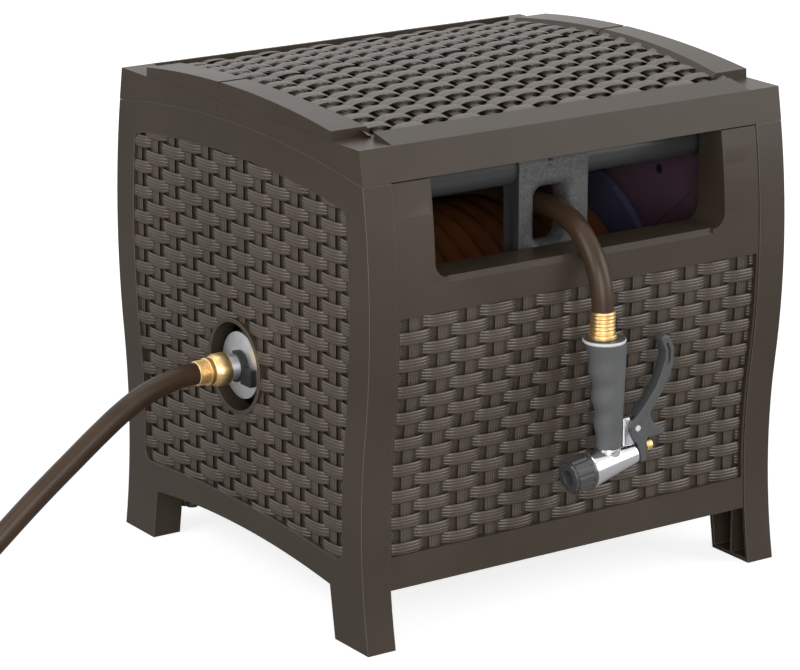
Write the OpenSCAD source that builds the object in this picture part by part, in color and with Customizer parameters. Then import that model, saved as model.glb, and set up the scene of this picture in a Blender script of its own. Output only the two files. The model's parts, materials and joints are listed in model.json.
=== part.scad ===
// Hose reel in a moulded wicker-pattern box: a hinged lid, a water-driven drum with its hose pack,
// a gear-driven hose guide behind the front window, a spray nozzle and a leader hose.
// Millimetres. +X is the right-hand side, the front faces -Y, the feet stand on z = 0.

/* [Box] */
// Width over the two side panels
box_w = 500; // [480:2:530]
// Wall thickness of the moulded resin
wall = 4; // [3:0.5:5]
// Half depth of the box at its belly
belly_half = 237; // [234:0.5:240]
// Height of the belly above the floor
belly_z = 330; // [320:2:340]
// How far the waist lies inside the belly
waist_in = 15; // [12:0.5:18]
// Radius of the outward curve at the belly
belly_r = 800; // [760:10:860]
// Radius of the inward curve at the waist
waist_r = 650; // [600:10:700]
// Height of the side panel's top edge at its corners
seam_z = 461; // [456:1:466]
// Rise of that edge from the corners to the middle
seam_rise = 18.5; // [16:0.5:21]
// Width of a corner post seen from the front
post_w = 32; // [30:0.5:34]
// Height of the arch between the legs, at its ends
arch_z = 54; // [50:1:56]
// Rise of the arch in the middle
arch_rise = 10.6; // [8:0.2:12]
// Distance from the middle to a leg's inner edge, at the arch
leg_in = 166; // [162:1:170]
// Outward slope of that edge, down to the foot
leg_splay = 9; // [6:1:12]

/* [Wicker panels] */
// Depth of the wicker field below its frame
recess_d = 7.5; // [6:0.5:9]
// Width of the frame's upright beside the field
stile_w = 34; // [32:1:38]
// Height of the frame above the field on a side panel
head_w = 33; // [30:1:36]
// Height of the field's lower edge on a side panel
field_z = 84; // [82:1:88]
// Corner radius of a field
field_r = 10; // [6:1:14]

/* [Front and back panels] */
// How far the front face lies behind the posts' faces
front_inset = 1; // [0.5:0.25:2]
// Height of the lower edge of the panels
front_z0 = 58; // [57:0.5:60]
// Height of the front wicker field's lower edge
front_field_z0 = 90.5; // [88:0.5:94]
// Height of the front wicker field's upper edge
front_field_z1 = 331; // [326:1:336]
// Width of the window
window_w = 348; // [340:2:352]
// Height of the window's sill
sill_z = 364; // [360:1:367]
// Depth of the window's duct, from its outer lip
duct_d = 44; // [38:1:46]
// Corner radius of the window
window_r = 15; // [10:1:18]

/* [Lid] */
// Height of the lid's crown at its middle
crown_z = 514.6; // [512:0.2:517]
// Radius of the lid's crown
crown_r = 1367; // [1300:10:1450]
// Height of the lid's corner flats
flat_z = 495; // [493:0.5:497]
// Half length of a raised side band
band_half = 171; // [168:1:174]
// Width of a side band's flat top
band_w = 30; // [28:1:33]
// Depth of the lid's wicker field below the bands
lid_recess = 9; // [8:0.5:10]
// Place of the split between the two lids, behind the middle
split_y = 32; // [28:1:38]
// Gap along the seams of the lids
seam_gap = 0.4; // [0.3:0.05:0.6]
// Radius of the lid's hinge knuckle
knuckle_r = 5; // [4.6:0.2:5.4]
// Radius of the hinge pin
hinge_pin_r = 1.6; // [1.4:0.1:1.8]

/* [Reel] */
// Height of the drum's axis
axis_z = 230; // [226:1:232]
// Place of the drum's axis behind the middle
axis_y = 8; // [6:1:10]
// Outer radius of the axle
axle_r = 12; // [11:0.25:12.5]
// Bore radius of the axle
axle_bore_r = 8; // [7:0.25:9]
// Outer radius of the drum's hub
hub_r = 52; // [48:1:56]
// Outer radius of a drum flange
flange_r = 160; // [157:0.5:161]
// Distance from the inner face of a drum flange to its frame
drum_gap = 37; // [36:0.5:39]
// Radius of the outer layer's hose centreline
wind_r = 120; // [114:1:122]
// Spacing of the hose turns on the drum
wind_pitch = 22.8; // [22.6:0.1:23]
// Thickness of the frames that carry the drum
frame_t = 6; // [5:0.5:7]
// Distance from the box's side face to a frame's inner face
frame_gap = 51; // [50:0.5:53]

/* [Hose] */
// Outer diameter of the hose
hose_d = 22; // [20:0.5:22]

/* [Guide and gears] */
// Height of the guide tube's axis
tube_z = 441; // [438:1:442]
// Distance from the belly to the guide tube's axis
tube_in = 75; // [73:1:77]
// Outer radius of the guide tube
tube_r = 18.5; // [18:0.25:19]
// Wall of the guide tube
tube_wall = 3; // [2:0.5:4]
// Radius of the traverse screw
screw_r = 9; // [8:0.5:10]
// Width of the guide block
guide_w = 83; // [78:1:88]
// Width of the hose hole in the guide
guide_hole_w = 37; // [34:1:40]
// Height of the hose hole in the guide
guide_hole_h = 56; // [52:1:58]
// Height of the hose hole's lower edge
guide_hole_z = 362; // [360:1:364]
// Radius of the lower guide rod
rod_r = 5; // [4:0.5:5.5]
// Face width of the gears
gear_w = 6; // [5:0.5:7]

/* [Nozzle] */
// Diameter of the nozzle's collar
collar_d = 43; // [40:1:45]
// Half width of the nozzle's lever
lever_half = 6.5; // [6:0.25:7]
// Half width of the slot in the lever
lever_slot = 3.4; // [3:0.1:3.8]

/* [Water inlet] */
// Radius of the hole in the left side panel
inlet_hole_r = 45; // [43:0.5:47]
// Radius of the inlet's disc
inlet_disc_r = 34; // [32:0.5:36]
// Radius of the inlet's neck
inlet_neck_r = 13; // [12.5:0.1:13.2]
// Radius of the brass swivel nut
nut_r = 16.5; // [16:0.25:17]

/* [Hidden] */
$fn = 64;
fit = 0.05;
gap = 0.3;
eps = 0.01;
side_x = box_w / 2;
post_x = side_x - post_w;
panel_x = post_x - 0.5;
hose_r = hose_d / 2;
waist_half = belly_half - waist_in;
frame_x = side_x - frame_gap;
drum_half = frame_x - drum_gap;
wind_turns = floor((2 * (drum_half - gap) - hose_d) / wind_pitch);
tube_y = belly_half - tube_in;
axis_pt = [axis_y, axis_z];
tube_pt = [-tube_y, tube_z];

// Outline of the box: an outward arc that runs over into an inward one
arc_span = belly_r + waist_r;
arc_drop = sqrt(pow(arc_span, 2) - pow(arc_span - (belly_half - waist_half), 2));
waist_z = belly_z - arc_drop;
turn_z = belly_z - arc_drop * belly_r / arc_span;

function belly_y(z) = belly_half - belly_r + sqrt(pow(belly_r, 2) - pow(z - belly_z, 2));
function waist_y(z) = waist_half + waist_r - sqrt(pow(waist_r, 2) - pow(z - waist_z, 2));
function edge_y(z) = z > turn_z ? belly_y(z) : waist_y(z);

// Height of a shallow arc of half chord h and rise s, above the chord
function arc_rad(h, s) = (h * h + s * s) / (2 * s);
function arc_h(y, h, s) = sqrt(pow(arc_rad(h, s), 2) - y * y) - arc_rad(h, s) + s;

seam_half = edge_y(seam_z);
function seam_at(y) = seam_z + arc_h(min(abs(y), seam_half), seam_half, seam_rise);
function arch_at(y) = arch_z + arc_h(min(abs(y), leg_in), leg_in, arch_rise);
function crown_at(y) = crown_z - crown_r + sqrt(pow(crown_r, 2) - y * y);

function steps(a, b, n) = [for (i = [0:n]) a + (b - a) * i / n];
function reversed(l) = [for (i = [len(l) - 1:-1:0]) l[i]];
function arc_pts(c, r, a0, a1, n) = [for (a = steps(a0, a1, n)) c + r * [cos(a), sin(a)]];
function mirrored(l) = [for (p = reversed(l)) [-p[0], p[1]]];
function turned(p, a) = [p[0] * cos(a) - p[1] * sin(a), p[0] * sin(a) + p[1] * cos(a)];

// Extrude an outline drawn in (y, z) along X, or one drawn in (x, z) along Y
module along_x(x0, x1) {
    translate([x0, 0, 0])
        rotate([90, 0, 90])
            linear_extrude(x1 - x0)
                children();
}

module along_y(y0, y1) {
    translate([0, y1, 0])
        rotate([90, 0, 0])
            linear_extrude(y1 - y0)
                children();
}

// A round bar along X, centred on a point in (y, z)
module bar_x(x0, x1, r, at) {
    along_x(x0, x1)
        translate(at)
            circle(r);
}

// A ring along X
module ring_x(x0, x1, r1, r0, at) {
    along_x(x0, x1)
        translate(at)
            difference() {
                circle(r1);
                circle(r0);
            }
}

// A shape turned about an axis along X: its outline is given as (radius, x)
module turned_x(at) {
    translate([0, at[0], at[1]])
        rotate([0, 90, 0])
            rotate_extrude()
                children();
}

module both_ends() {
    children();
    mirror([1, 0, 0])
        children();
}

// A tube swept along a path, with rings square to it; ref is never parallel to the path
function unit(v) = v / norm(v);
function heading(path, i) = unit(path[min(i + 1, len(path) - 1)] - path[max(i - 1, 0)]);
function ring_at(path, i, r, sides, ref) =
    let (t = heading(path, i), u = unit(cross(t, ref)), v = cross(u, t))
        [for (k = [0:sides - 1]) path[i] + r * (cos(360 * k / sides) * u + sin(360 * k / sides) * v)];

module swept(path, r, sides, ref) {
    last = len(path) - 1;
    points = [for (i = [0:last]) each ring_at(path, i, r, sides, ref)];
    walls = [
        for (i = [0:last - 1])
            for (k = [0:sides - 1])
                let (a = i * sides + k, b = i * sides + (k + 1) % sides)
                    each [[a, a + sides, b], [b, a + sides, b + sides]]
    ];
    first_cap = [for (k = [1:sides - 2]) [0, k, k + 1]];
    last_cap = [for (k = [1:sides - 2]) [last * sides, last * sides + k + 1, last * sides + k]];
    polyhedron(points, concat(walls, first_cap, last_cap));
}

// Least gap of a wound tube to itself, measured between its rings half a turn or more apart
function least_gap(path, r, turn) = min([
    for (i = [0:len(path) - 1])
        for (j = [i + floor(turn / 2):min(i + floor(turn * 3 / 2), len(path) - 1)])
            norm(path[j] - path[i])
]) - 2 * r;

// Side panels

module side_outline(inset) {
    z_top = seam_z - inset;
    rise = steps(inset, z_top, 24);
    right = [for (z = rise) [edge_y(z) - inset, z]];
    top_y = edge_y(z_top) - inset;
    top = [for (y = steps(top_y, 0, 12)) [y, seam_at(y) - inset]];
    arch_half = leg_in + inset;
    arch = [for (y = steps(0, arch_half, 8)) [y, arch_at(y) + inset]];
    foot = [[leg_in + leg_splay + inset, inset]];
    half = concat(arch, foot, right, top);
    polygon(concat(half, mirrored(half)));
}

function field_top(y) = seam_at(y) - head_w;
function field_foot(y) = field_z + arc_h(min(abs(y), leg_in), leg_in, arch_rise) * 0.7;

module side_field(grow) {
    r = field_r + grow;
    z0 = field_foot(leg_in) - grow + r;
    z1 = field_top(edge_y(seam_z) - stile_w) + grow - r;
    y0 = edge_y(z0) - stile_w + grow;
    y1 = edge_y(z1) - stile_w + grow;
    right = [for (z = steps(z0, z1, 16)) [edge_y(z) - stile_w + grow, z]];
    low_corner = arc_pts([y0 - r, z0], r, -90, 0, 4);
    top_corner = arc_pts([y1 - r, z1], r, 0, 90, 4);
    low = [for (y = steps(0, y0 - r, 8)) [y, field_foot(y) - grow]];
    top = [for (y = steps(y1 - r, 0, 8)) [y, field_top(y) + grow]];
    half = concat(low, low_corner, right, top_corner, top);
    polygon(concat(half, mirrored(half)));
}

rib_t = 2.5;

module leg_ribs() {
    rib_y = (leg_in + leg_splay + edge_y(0)) / 2;
    for (s = [-1, 1])
        mirror([0, (1 - s) / 2, 0]) {
            translate([post_x, rib_y - rib_t / 2, wall / 2])
                cube([post_w - wall / 2, rib_t, arch_z + wall - wall / 2]);
            translate([post_x, leg_in + wall / 2, arch_z + wall - rib_t])
                cube([post_w - wall / 2, edge_y(arch_z) - leg_in - wall, rib_t]);
        }
}

module side_panel() {
    difference() {
        union() {
            difference() {
                along_x(post_x, side_x)
                    side_outline(0);
                along_x(post_x - 1, side_x - wall)
                    side_outline(wall);
            }
            along_x(side_x - recess_d - wall, side_x - wall / 2)
                side_field(wall);
        }
        along_x(side_x - recess_d, side_x + 1)
            side_field(0);
    }
    leg_ribs();
}

collar_x = side_x - 22;
collar_wall = 4;

module inlet_collar() {
    ring_x(collar_x, side_x, inlet_hole_r + collar_wall, inlet_hole_r, axis_pt);
}

module left_side_panel() {
    color([0.30, 0.26, 0.22])
        mirror([1, 0, 0]) {
            difference() {
                side_panel();
                bar_x(collar_x - 1, side_x + 1, inlet_hole_r + collar_wall / 2, axis_pt);
            }
            inlet_collar();
        }
}

module right_side_panel() {
    color([0.30, 0.26, 0.22])
        side_panel();
}

// Front and back panels

function skin_pts(z0, z1, i0, i1, n) = concat(
    [for (z = steps(z0, z1, n)) [-edge_y(z) + i0, z]],
    [for (z = steps(z1, z0, n)) [-edge_y(z) + i1, z]]
);

module skin(z0, z1, i0, i1, n = 12) {
    polygon(skin_pts(z0, z1, i0, i1, n));
}

front_top = seam_z - 1;
face_in = front_inset + wall;
tub_in = front_inset + recess_d + 0.5 + wall;
front_field_x = panel_x - 2.5;
tongue_w = 12;
tongue_in = wall + gap;

// One woven-faced panel between the posts, with its wicker field between z0 and z1
module face_panel(z0, z1) {
    difference() {
        union() {
            along_x(-panel_x, panel_x)
                skin(front_z0, front_top, front_inset, face_in, 24);
            along_x(-panel_x, panel_x)
                skin(z0 - wall, z1 + wall, face_in - wall / 2, tub_in, 20);
            both_ends()
                along_x(panel_x - wall, panel_x + tongue_w)
                    skin(front_z0 + 14, front_top - 14, tongue_in, tongue_in + wall, 20);
        }
        along_x(-front_field_x, front_field_x)
            skin(z0, z1, -5, tub_in - wall, 20);
    }
    translate([-panel_x, -edge_y(front_z0) + face_in - wall / 2, front_z0])
        cube([2 * panel_x, flange_in, wall]);
}

flange_in = 22;

module window_outline(grow) {
    half = window_w / 2 + grow;
    r = window_r + grow;
    low = sill_z - grow;
    polygon(concat(
        [[half, front_top + 5]],
        [[-half, front_top + 5]],
        arc_pts([-half + r, low + r], r, 180, 270, 6),
        arc_pts([half - r, low + r], r, 270, 360, 6)
    ));
}

window_y = -edge_y(sill_z) + front_inset;
duct_y = window_y + duct_d;
lip = 5;

module window_duct() {
    intersection() {
        along_y(window_y - 2, duct_y)
            window_outline(wall);
        along_x(-side_x, side_x)
            skin(sill_z - wall - 1, front_top, front_inset, 80, 12);
    }
}

// The rounded lip in front of the sill, which the hose slides over
module sill_bevel() {
    along_x(-window_w / 2 + window_r, window_w / 2 - window_r)
        polygon([
            [window_y - 2, sill_z - lip - 2],
            [window_y - 2, sill_z + 1],
            [window_y + lip + 1, sill_z + 1]
        ]);
}

module front_panel() {
    color([0.30, 0.26, 0.22])
        difference() {
            union() {
                face_panel(front_field_z0, front_field_z1);
                window_duct();
            }
            along_y(window_y - 20, duct_y + 1)
                window_outline(0);
            sill_bevel();
        }
}

back_field_z1 = seam_z - head_w + 6;

module back_panel() {
    color([0.30, 0.26, 0.22])
        mirror([0, 1, 0])
            face_panel(front_field_z0, back_field_z1);
}

// Base tray, which stands on the flanges of the front and back panels

tray_z = front_z0 + wall;
tray_t = 4;
tray_top = tray_z + tray_t;
tray_half = edge_y(tray_z) - tub_in - gap;
tray_x = panel_x;
socket_t = 3;
socket_h = 12;
tray_rim = 18;
frame_foot = 150;
drain_at = [-(panel_x - 9), belly_half - 59];
drain_r = 7;

module base_tray() {
    color([0.13, 0.12, 0.11])
        difference() {
            union() {
                translate([-tray_x, -tray_half, tray_z])
                    cube([2 * tray_x, 2 * tray_half, tray_t]);
                for (s = [-1, 1])
                    translate([-tray_x, s * (tray_half - wall / 2) - wall / 2, tray_z])
                        cube([2 * tray_x, wall, tray_rim]);
                both_ends()
                    translate([frame_x + frame_t + gap, -frame_foot, tray_z])
                        cube([socket_t, 2 * frame_foot, tray_t + socket_h]);
            }
            for (x = [-120:60:120])
                translate([x, 0, tray_z - 1])
                    cylinder(h = tray_t + 2, r = 5);
            translate([drain_at[0], drain_at[1], tray_z - 1])
                cylinder(h = 30, r = drain_r + gap);
        }
}

// Lids: a crowned shell with raised side bands, wedge-shaped rails and a sunk wicker field

lid_draft = 5.8;
rail_in = 189;
rail_tip = 502;
rail_x = side_x - 37;
lid_base_y = seam_half;
lid_top_y = lid_base_y - lid_draft;

function lid_floor(y) = crown_at(y) - lid_recess;

function lid_seam_pts(g) = [for (y = steps(-lid_base_y, lid_base_y, 24)) [y, seam_at(y) + g]];

module lid_core() {
    polygon(concat(
        lid_seam_pts(seam_gap),
        [[lid_top_y, flat_z]],
        [for (y = steps(band_half, -band_half, 20)) [y, min(flat_z, lid_floor(y))]],
        [[-lid_top_y, flat_z]]
    ));
}

module lid_rails() {
    polygon(concat(
        [[-lid_top_y, flat_z - 10], [lid_top_y, flat_z - 10]],
        [[lid_top_y, flat_z], [rail_in, rail_tip]],
        [for (y = steps(rail_in, -rail_in, 20)) [y, lid_floor(y)]],
        [[-rail_in, rail_tip], [-lid_top_y, flat_z]]
    ));
}

module lid_bands() {
    polygon(concat(
        [[-band_half, flat_z - 10], [band_half, flat_z - 10]],
        [for (y = steps(band_half, -band_half, 20)) [y, crown_at(y)]]
    ));
}

band_foot_x = side_x - band_w - 14;

module band_slope() {
    polygon([
        [side_x, flat_z - 20],
        [side_x - 1.5, crown_z + 2],
        [side_x - band_w, crown_z + 1],
        [band_foot_x, crown_z - lid_recess - 6],
        [band_foot_x, flat_z - 20]
    ]);
}

module lid_hollow() {
    polygon(concat(
        [[-lid_base_y + wall, seam_z - 20], [lid_base_y - wall, seam_z - 20]],
        [[lid_top_y - wall, flat_z - wall - 2]],
        [for (y = steps(rail_in, -rail_in, 20)) [y, min(flat_z - wall, lid_floor(y) - wall)]],
        [[-lid_top_y + wall, flat_z - wall - 2]]
    ));
}

module field_hollow() {
    polygon(concat(
        [[-rail_in + 8, flat_z - 20], [rail_in - 8, flat_z - 20]],
        [for (y = steps(rail_in - 8, -rail_in + 8, 20)) [y, lid_floor(y) - wall]]
    ));
}

module band_hollow() {
    polygon(concat(
        [[-band_half + wall, flat_z - 20], [band_half - wall, flat_z - 20]],
        [for (y = steps(band_half - wall, -band_half + wall, 20)) [y, crown_at(y) - wall]]
    ));
}

band_rib_x = side_x - 22;

module lid_shell() {
    difference() {
        union() {
            along_x(-side_x, side_x)
                lid_core();
            along_x(-rail_x, rail_x)
                lid_rails();
            both_ends()
                intersection() {
                    along_x(band_foot_x, side_x)
                        lid_bands();
                    along_y(-band_half - 1, band_half + 1)
                        band_slope();
                }
        }
        along_x(-side_x + wall, side_x - wall)
            lid_hollow();
        along_x(-rail_x + wall, rail_x - wall)
            field_hollow();
        both_ends()
            along_x(band_rib_x, side_x - wall)
                band_hollow();
    }
}

split_front = split_y - seam_gap / 2;
split_rear = split_y + seam_gap / 2;
hinge_y = split_front - knuckle_r;
hinge_z = crown_at(split_y) - knuckle_r;
hinge_pt = [hinge_y, hinge_z];
pin_x0 = band_rib_x - 4;
pin_x1 = side_x - wall / 2;
ear_x0 = band_rib_x + 5;
ear_x1 = ear_x0 + 8;
ear_r = 3.2;
lip_z = 472;

module lid_half(front) {
    y0 = front ? -side_x : split_rear;
    intersection() {
        lid_shell();
        translate([-side_x - 1, y0, 0])
            cube([box_w + 2, front ? split_front + side_x : side_x, crown_z + 20]);
    }
    wall_y = front ? split_front - 3 : split_rear;
    translate([-post_x + 1, wall_y, lip_z])
        cube([2 * (post_x - 1), 3, lid_floor(split_y) - lip_z - 1]);
}

// The foot of the lid's side walls keeps inside this radius, so that it swings clear of the side panels
swing_r = hinge_z - seam_at(hinge_y) - seam_gap;

module front_lid() {
    color([0.30, 0.26, 0.22])
        difference() {
            lid_half(true);
            both_ends()
                difference() {
                    translate([post_x, hinge_y, seam_z])
                        cube([post_w + 1, 2 * knuckle_r, hinge_z - swing_r / 2 - seam_z]);
                    bar_x(post_x - 1, side_x + 2, swing_r, hinge_pt);
                }
            difference() {
                translate([-side_x - 1, hinge_y, hinge_z])
                    cube([box_w + 2, 2 * knuckle_r, 2 * knuckle_r]);
                bar_x(-side_x - 2, side_x + 2, knuckle_r, hinge_pt);
            }
            both_ends() {
                bar_x(pin_x0 - 1, pin_x1 + 0.5, hinge_pin_r + fit, hinge_pt);
                bar_x(ear_x0 - gap, ear_x1 + gap, ear_r + 0.4, hinge_pt);
            }
        }
}

ear_drop = 14;

// Gooseneck arms of the rear lid reach forward under the seam and carry the pins
module hinge_arms() {
    both_ends()
        difference() {
            along_x(ear_x0, ear_x1) {
                translate(hinge_pt)
                    circle(ear_r);
                translate([hinge_y - ear_r, hinge_z - ear_drop])
                    square([ear_r + 0.6, ear_drop]);
                translate([hinge_y - ear_r, hinge_z - ear_drop - 2])
                    square([split_rear + 3 - hinge_y + ear_r, 5]);
                translate([split_rear, hinge_z - ear_drop - 2])
                    square([3, crown_at(split_y + 4) - wall - hinge_z + ear_drop + 2.5]);
            }
            bar_x(ear_x0 - 1, ear_x1 + 1, hinge_pin_r, hinge_pt);
        }
}

// The rear lid is screwed on from below, through the side panels' top edges into its bosses
boss_y = [90, 180];
boss_r = 5;

module lid_spots() {
    for (sx = [-1, 1])
        for (y = boss_y)
            translate([sx * (post_x + boss_r + 5), y, seam_at(y)])
                children();
}

module lid_bosses() {
    intersection() {
        lid_spots()
            cylinder(h = 2 * seam_rise, r = boss_r);
        along_x(-side_x, side_x)
            polygon(concat(lid_seam_pts(seam_gap), [[lid_base_y, flat_z - wall + 1], [-lid_base_y, flat_z - wall + 1]]));
    }
}

module rear_lid() {
    color([0.30, 0.26, 0.22]) {
        lid_half(false);
        hinge_arms();
        lid_bosses();
    }
}

module hinge_pins() {
    color("silver")
        both_ends()
            bar_x(pin_x0, pin_x1, hinge_pin_r, hinge_pt);
}

// Screws. A pan screw points along -Z and its head seats at z = 0.
screw_hole_r = 1.8;
head_h = 2.2;

module pan_screw(length) {
    cylinder(h = head_h, r = 2 * screw_hole_r);
    translate([0, 0, -length])
        cylinder(h = length + eps, r = screw_hole_r);
}

// The four screws of a face panel run outwards through its tongue into the post
tongue_screw_x = panel_x + tongue_w / 2;
tongue_screw_z = [waist_z, belly_z];

module tongue_spots() {
    for (sx = [-1, 1])
        for (z = tongue_screw_z)
            translate([sx * tongue_screw_x, -edge_y(z) + tongue_in + wall, z])
                rotate([-90, 0, 0])
                    children();
}

module panel_screws() {
    color("silver")
        for (s = [0, 1])
            mirror([0, s, 0])
                tongue_spots()
                    translate([0, 0, 0.02])
                        pan_screw(wall + gap + wall / 2);
}

module lid_screws() {
    color("silver")
        lid_spots()
            translate([0, 0, -wall - 0.7])
                mirror([0, 0, 1])
                    pan_screw(wall + 8);
}

// Reel frames: plates that stand on the tray, each screwed down by two lugs, and carry the drum, guide tube and gears

tooth_m = 2;
drum_teeth = 26;
drive_teeth = 80;
pinion_teeth = 15;
addendum = 0.9 * tooth_m;
dedendum = 1.2 * tooth_m;
backlash = 0.5;

function pitch_r(n) = tooth_m * n / 2;
function tip_r(n) = pitch_r(n) + addendum;

// The two idlers are just large enough to bridge the drum gear and the screw gear
chain = tube_pt - axis_pt;
idler_teeth = floor((norm(chain) / tooth_m - drum_teeth) / 2) + 2;
chain_u = unit(chain);
chain_n = [chain_u[1], -chain_u[0]];
short_link = pitch_r(drum_teeth) + pitch_r(idler_teeth);
long_link = 2 * pitch_r(idler_teeth);
chain_run = (norm(chain) - long_link) / 2;
chain_off = sqrt(pow(short_link, 2) - pow(chain_run, 2));
idler_a_pt = axis_pt + chain_run * chain_u + chain_off * chain_n;
idler_b_pt = tube_pt - chain_run * chain_u + chain_off * chain_n;
pinion_pt = axis_pt + (pitch_r(drive_teeth) + pitch_r(pinion_teeth)) * [cos(-45), sin(-45)];

frame_x1 = frame_x + frame_t;
idler_pin_r = 5;
journal_r = 6;
pinion_shaft_r = 4;

module frame_outline() {
    polygon([
        [-frame_foot, tray_top], [frame_foot, tray_top], [frame_foot, tray_top + 30],
        [92, axis_z + 30], [40, axis_z + 96], [-96, tube_z + 24],
        [-tube_y - 24, tube_z + 24], [-tube_y - 24, tube_z - 40], [-frame_foot, tray_top + 30]
    ]);
}

// Pockets in a frame's inner face leave ribs along its edges and round its bearing
module frame_pockets() {
    polygon([
        [-112, tray_top + 26], [-24, tray_top + 26], [-24, axis_z - 62], [-58, axis_z - 40], [-112, tray_top + 90]
    ]);
    polygon([[24, tray_top + 26], [104, tray_top + 26], [96, tray_top + 40], [24, tray_top + 40]]);
    polygon([[-128, axis_z + 30], [-64, axis_z + 20], [-84, axis_z + 96], [-150, axis_z + 150], [-156, axis_z + 130]]);
}

lug_y = [-60, 60];
lug_l = 20;
lug_w = 24;
lug_t = 4;

module frame_plate() {
    difference() {
        union() {
            for (y = lug_y)
                translate([frame_x - lug_l, y - lug_w / 2, tray_top])
                    cube([lug_l + eps, lug_w, lug_t]);
            along_x(frame_x, frame_x1)
                frame_outline();
        }
        along_x(frame_x - 1, frame_x + frame_t / 2)
            frame_pockets();
        bar_x(frame_x - 1, frame_x1 + 1, axle_r + fit, axis_pt);
        bar_x(frame_x - 1, frame_x1 + 1, journal_r + fit, tube_pt);
        bar_x(frame_x - 1, frame_x1 + 1, rod_r, rod_pt);
    }
}

module left_reel_frame() {
    color([0.12, 0.12, 0.13])
        mirror([1, 0, 0])
            difference() {
                frame_plate();
                bar_x(frame_x - 1, frame_x1 + 1, pinion_shaft_r + fit, pinion_pt);
            }
}

module right_reel_frame() {
    color([0.12, 0.12, 0.13])
        difference() {
            frame_plate();
            for (p = [idler_a_pt, idler_b_pt])
                bar_x(frame_x - 1, frame_x1 + 1, idler_pin_r, p);
        }
}

module frame_screws() {
    color("silver")
        both_ends()
            for (y = lug_y)
                translate([frame_x - lug_l / 2, y, tray_top + lug_t])
                    pan_screw(lug_t + tray_t);
}

// Guide tube with a slot below for the pawl, and the rod that keeps the guide from turning

rod_pt = [-tube_y - 6, 348];
slot_w = 8;
slot_x = 150;

module guide_tube() {
    color([0.09, 0.09, 0.10])
        difference() {
            ring_x(-frame_x, frame_x, tube_r, tube_r - tube_wall, tube_pt);
            translate([-slot_x, -tube_y - slot_w / 2, tube_z - tube_r - 1])
                cube([2 * slot_x, slot_w, tube_r]);
        }
}

module guide_rod() {
    color("silver")
        bar_x(-frame_x1, frame_x1, rod_r, rod_pt);
}

module traverse_screw() {
    color([0.75, 0.75, 0.72]) {
        bar_x(-frame_x + gap, frame_x - gap, screw_r, tube_pt);
        bar_x(-frame_x1, -frame_x + 1, journal_r, tube_pt);
        bar_x(frame_x - 1, gear_x1, journal_r, tube_pt);
    }
}

// Gears. Tooth flanks are straight lines at the pressure angle.

gear_x0 = frame_x1 + 1.5;
gear_x1 = gear_x0 + gear_w;
cover_x0 = gear_x1 + 2;
cover_x1 = panel_x - gap;
pressure = 20;

function half_tooth(n, r) =
    (PI * tooth_m / 4 - backlash / 2 - (r - pitch_r(n)) * tan(pressure)) / r * 180 / PI;

function polar(r, a) = r * [cos(a), sin(a)];

function tooth_pts(n, a) =
    let (r0 = pitch_r(n) - dedendum, r1 = tip_r(n), h0 = half_tooth(n, r0), h1 = half_tooth(n, r1))
        [polar(r0, a - h0), polar(r1, a - h1), polar(r1, a + h1), polar(r0, a + h0)];

module gear_outline(n, phase, at) {
    translate(at)
        polygon([for (i = [0:n - 1]) each tooth_pts(n, phase + 360 * i / n)]);
}

// Phase at which gear 2 meshes with gear 1
function mesh_phase(p1, phase1, n1, p2, n2) =
    let (
        a = atan2(p2[1] - p1[1], p2[0] - p1[0]),
        pitch = 360 / n1,
        turn = (a - phase1) / pitch,
        ahead = (turn - floor(turn)) * pitch
    )
        a + 180 + 180 / n2 + ahead * n1 / n2;

phase_a = mesh_phase(axis_pt, 0, drum_teeth, idler_a_pt, idler_teeth);
phase_b = mesh_phase(idler_a_pt, phase_a, idler_teeth, idler_b_pt, idler_teeth);
phase_screw = mesh_phase(idler_b_pt, phase_b, idler_teeth, tube_pt, drum_teeth);
phase_pinion = mesh_phase(axis_pt, 0, drive_teeth, pinion_pt, pinion_teeth);

module spur_gear(x0, x1, n, phase, at, bore) {
    difference() {
        along_x(x0, x1)
            gear_outline(n, phase, at);
        bar_x(x0 - 1, x1 + 1, bore, at);
    }
}

// A large gear is lightened by round holes between its hub and rim
module web_gear(x0, x1, n, phase, at, bore, holes) {
    hole_at = (bore + pitch_r(n)) / 2;
    hole_r = (pitch_r(n) - bore) / 5;
    difference() {
        spur_gear(x0, x1, n, phase, at, bore);
        for (i = [0:holes - 1])
            bar_x(x0 - 1, x1 + 1, hole_r, at + polar(hole_at, 360 * (i + 0.5) / holes));
    }
}

module drum_gear() {
    color([0.85, 0.85, 0.82])
        spur_gear(gear_x0, gear_x1, drum_teeth, 0, axis_pt, axle_r);
}

module idler_gear_a() {
    color([0.80, 0.80, 0.76])
        web_gear(gear_x0, gear_x1, idler_teeth, phase_a, idler_a_pt, idler_pin_r + fit, 5);
}

module idler_gear_b() {
    color([0.80, 0.80, 0.76])
        web_gear(gear_x0, gear_x1, idler_teeth, phase_b, idler_b_pt, idler_pin_r + fit, 5);
}

module screw_gear() {
    color([0.85, 0.85, 0.82])
        spur_gear(gear_x0, gear_x1, drum_teeth, phase_screw, tube_pt, journal_r);
}

module idler_pins() {
    color("silver")
        for (p = [idler_a_pt, idler_b_pt])
            bar_x(frame_x, gear_x1 + 1, idler_pin_r, p);
}

module gear_case(grow) {
    translate(axis_pt)
        circle(tip_r(drum_teeth) + grow);
    translate(tube_pt)
        circle(tip_r(drum_teeth) + grow);
    for (p = [idler_a_pt, idler_b_pt])
        translate(p)
            circle(tip_r(idler_teeth) + grow);
}

cover_wall = 2;
case_gap = 2;

module gear_cover() {
    color([0.12, 0.12, 0.13])
        difference() {
            along_x(frame_x1, cover_x1)
                gear_case(case_gap + cover_wall);
            along_x(frame_x1 - 1, cover_x1 - cover_wall)
                gear_case(case_gap);
        }
}

// Drum: axle, hub and two ribbed flanges

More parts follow.
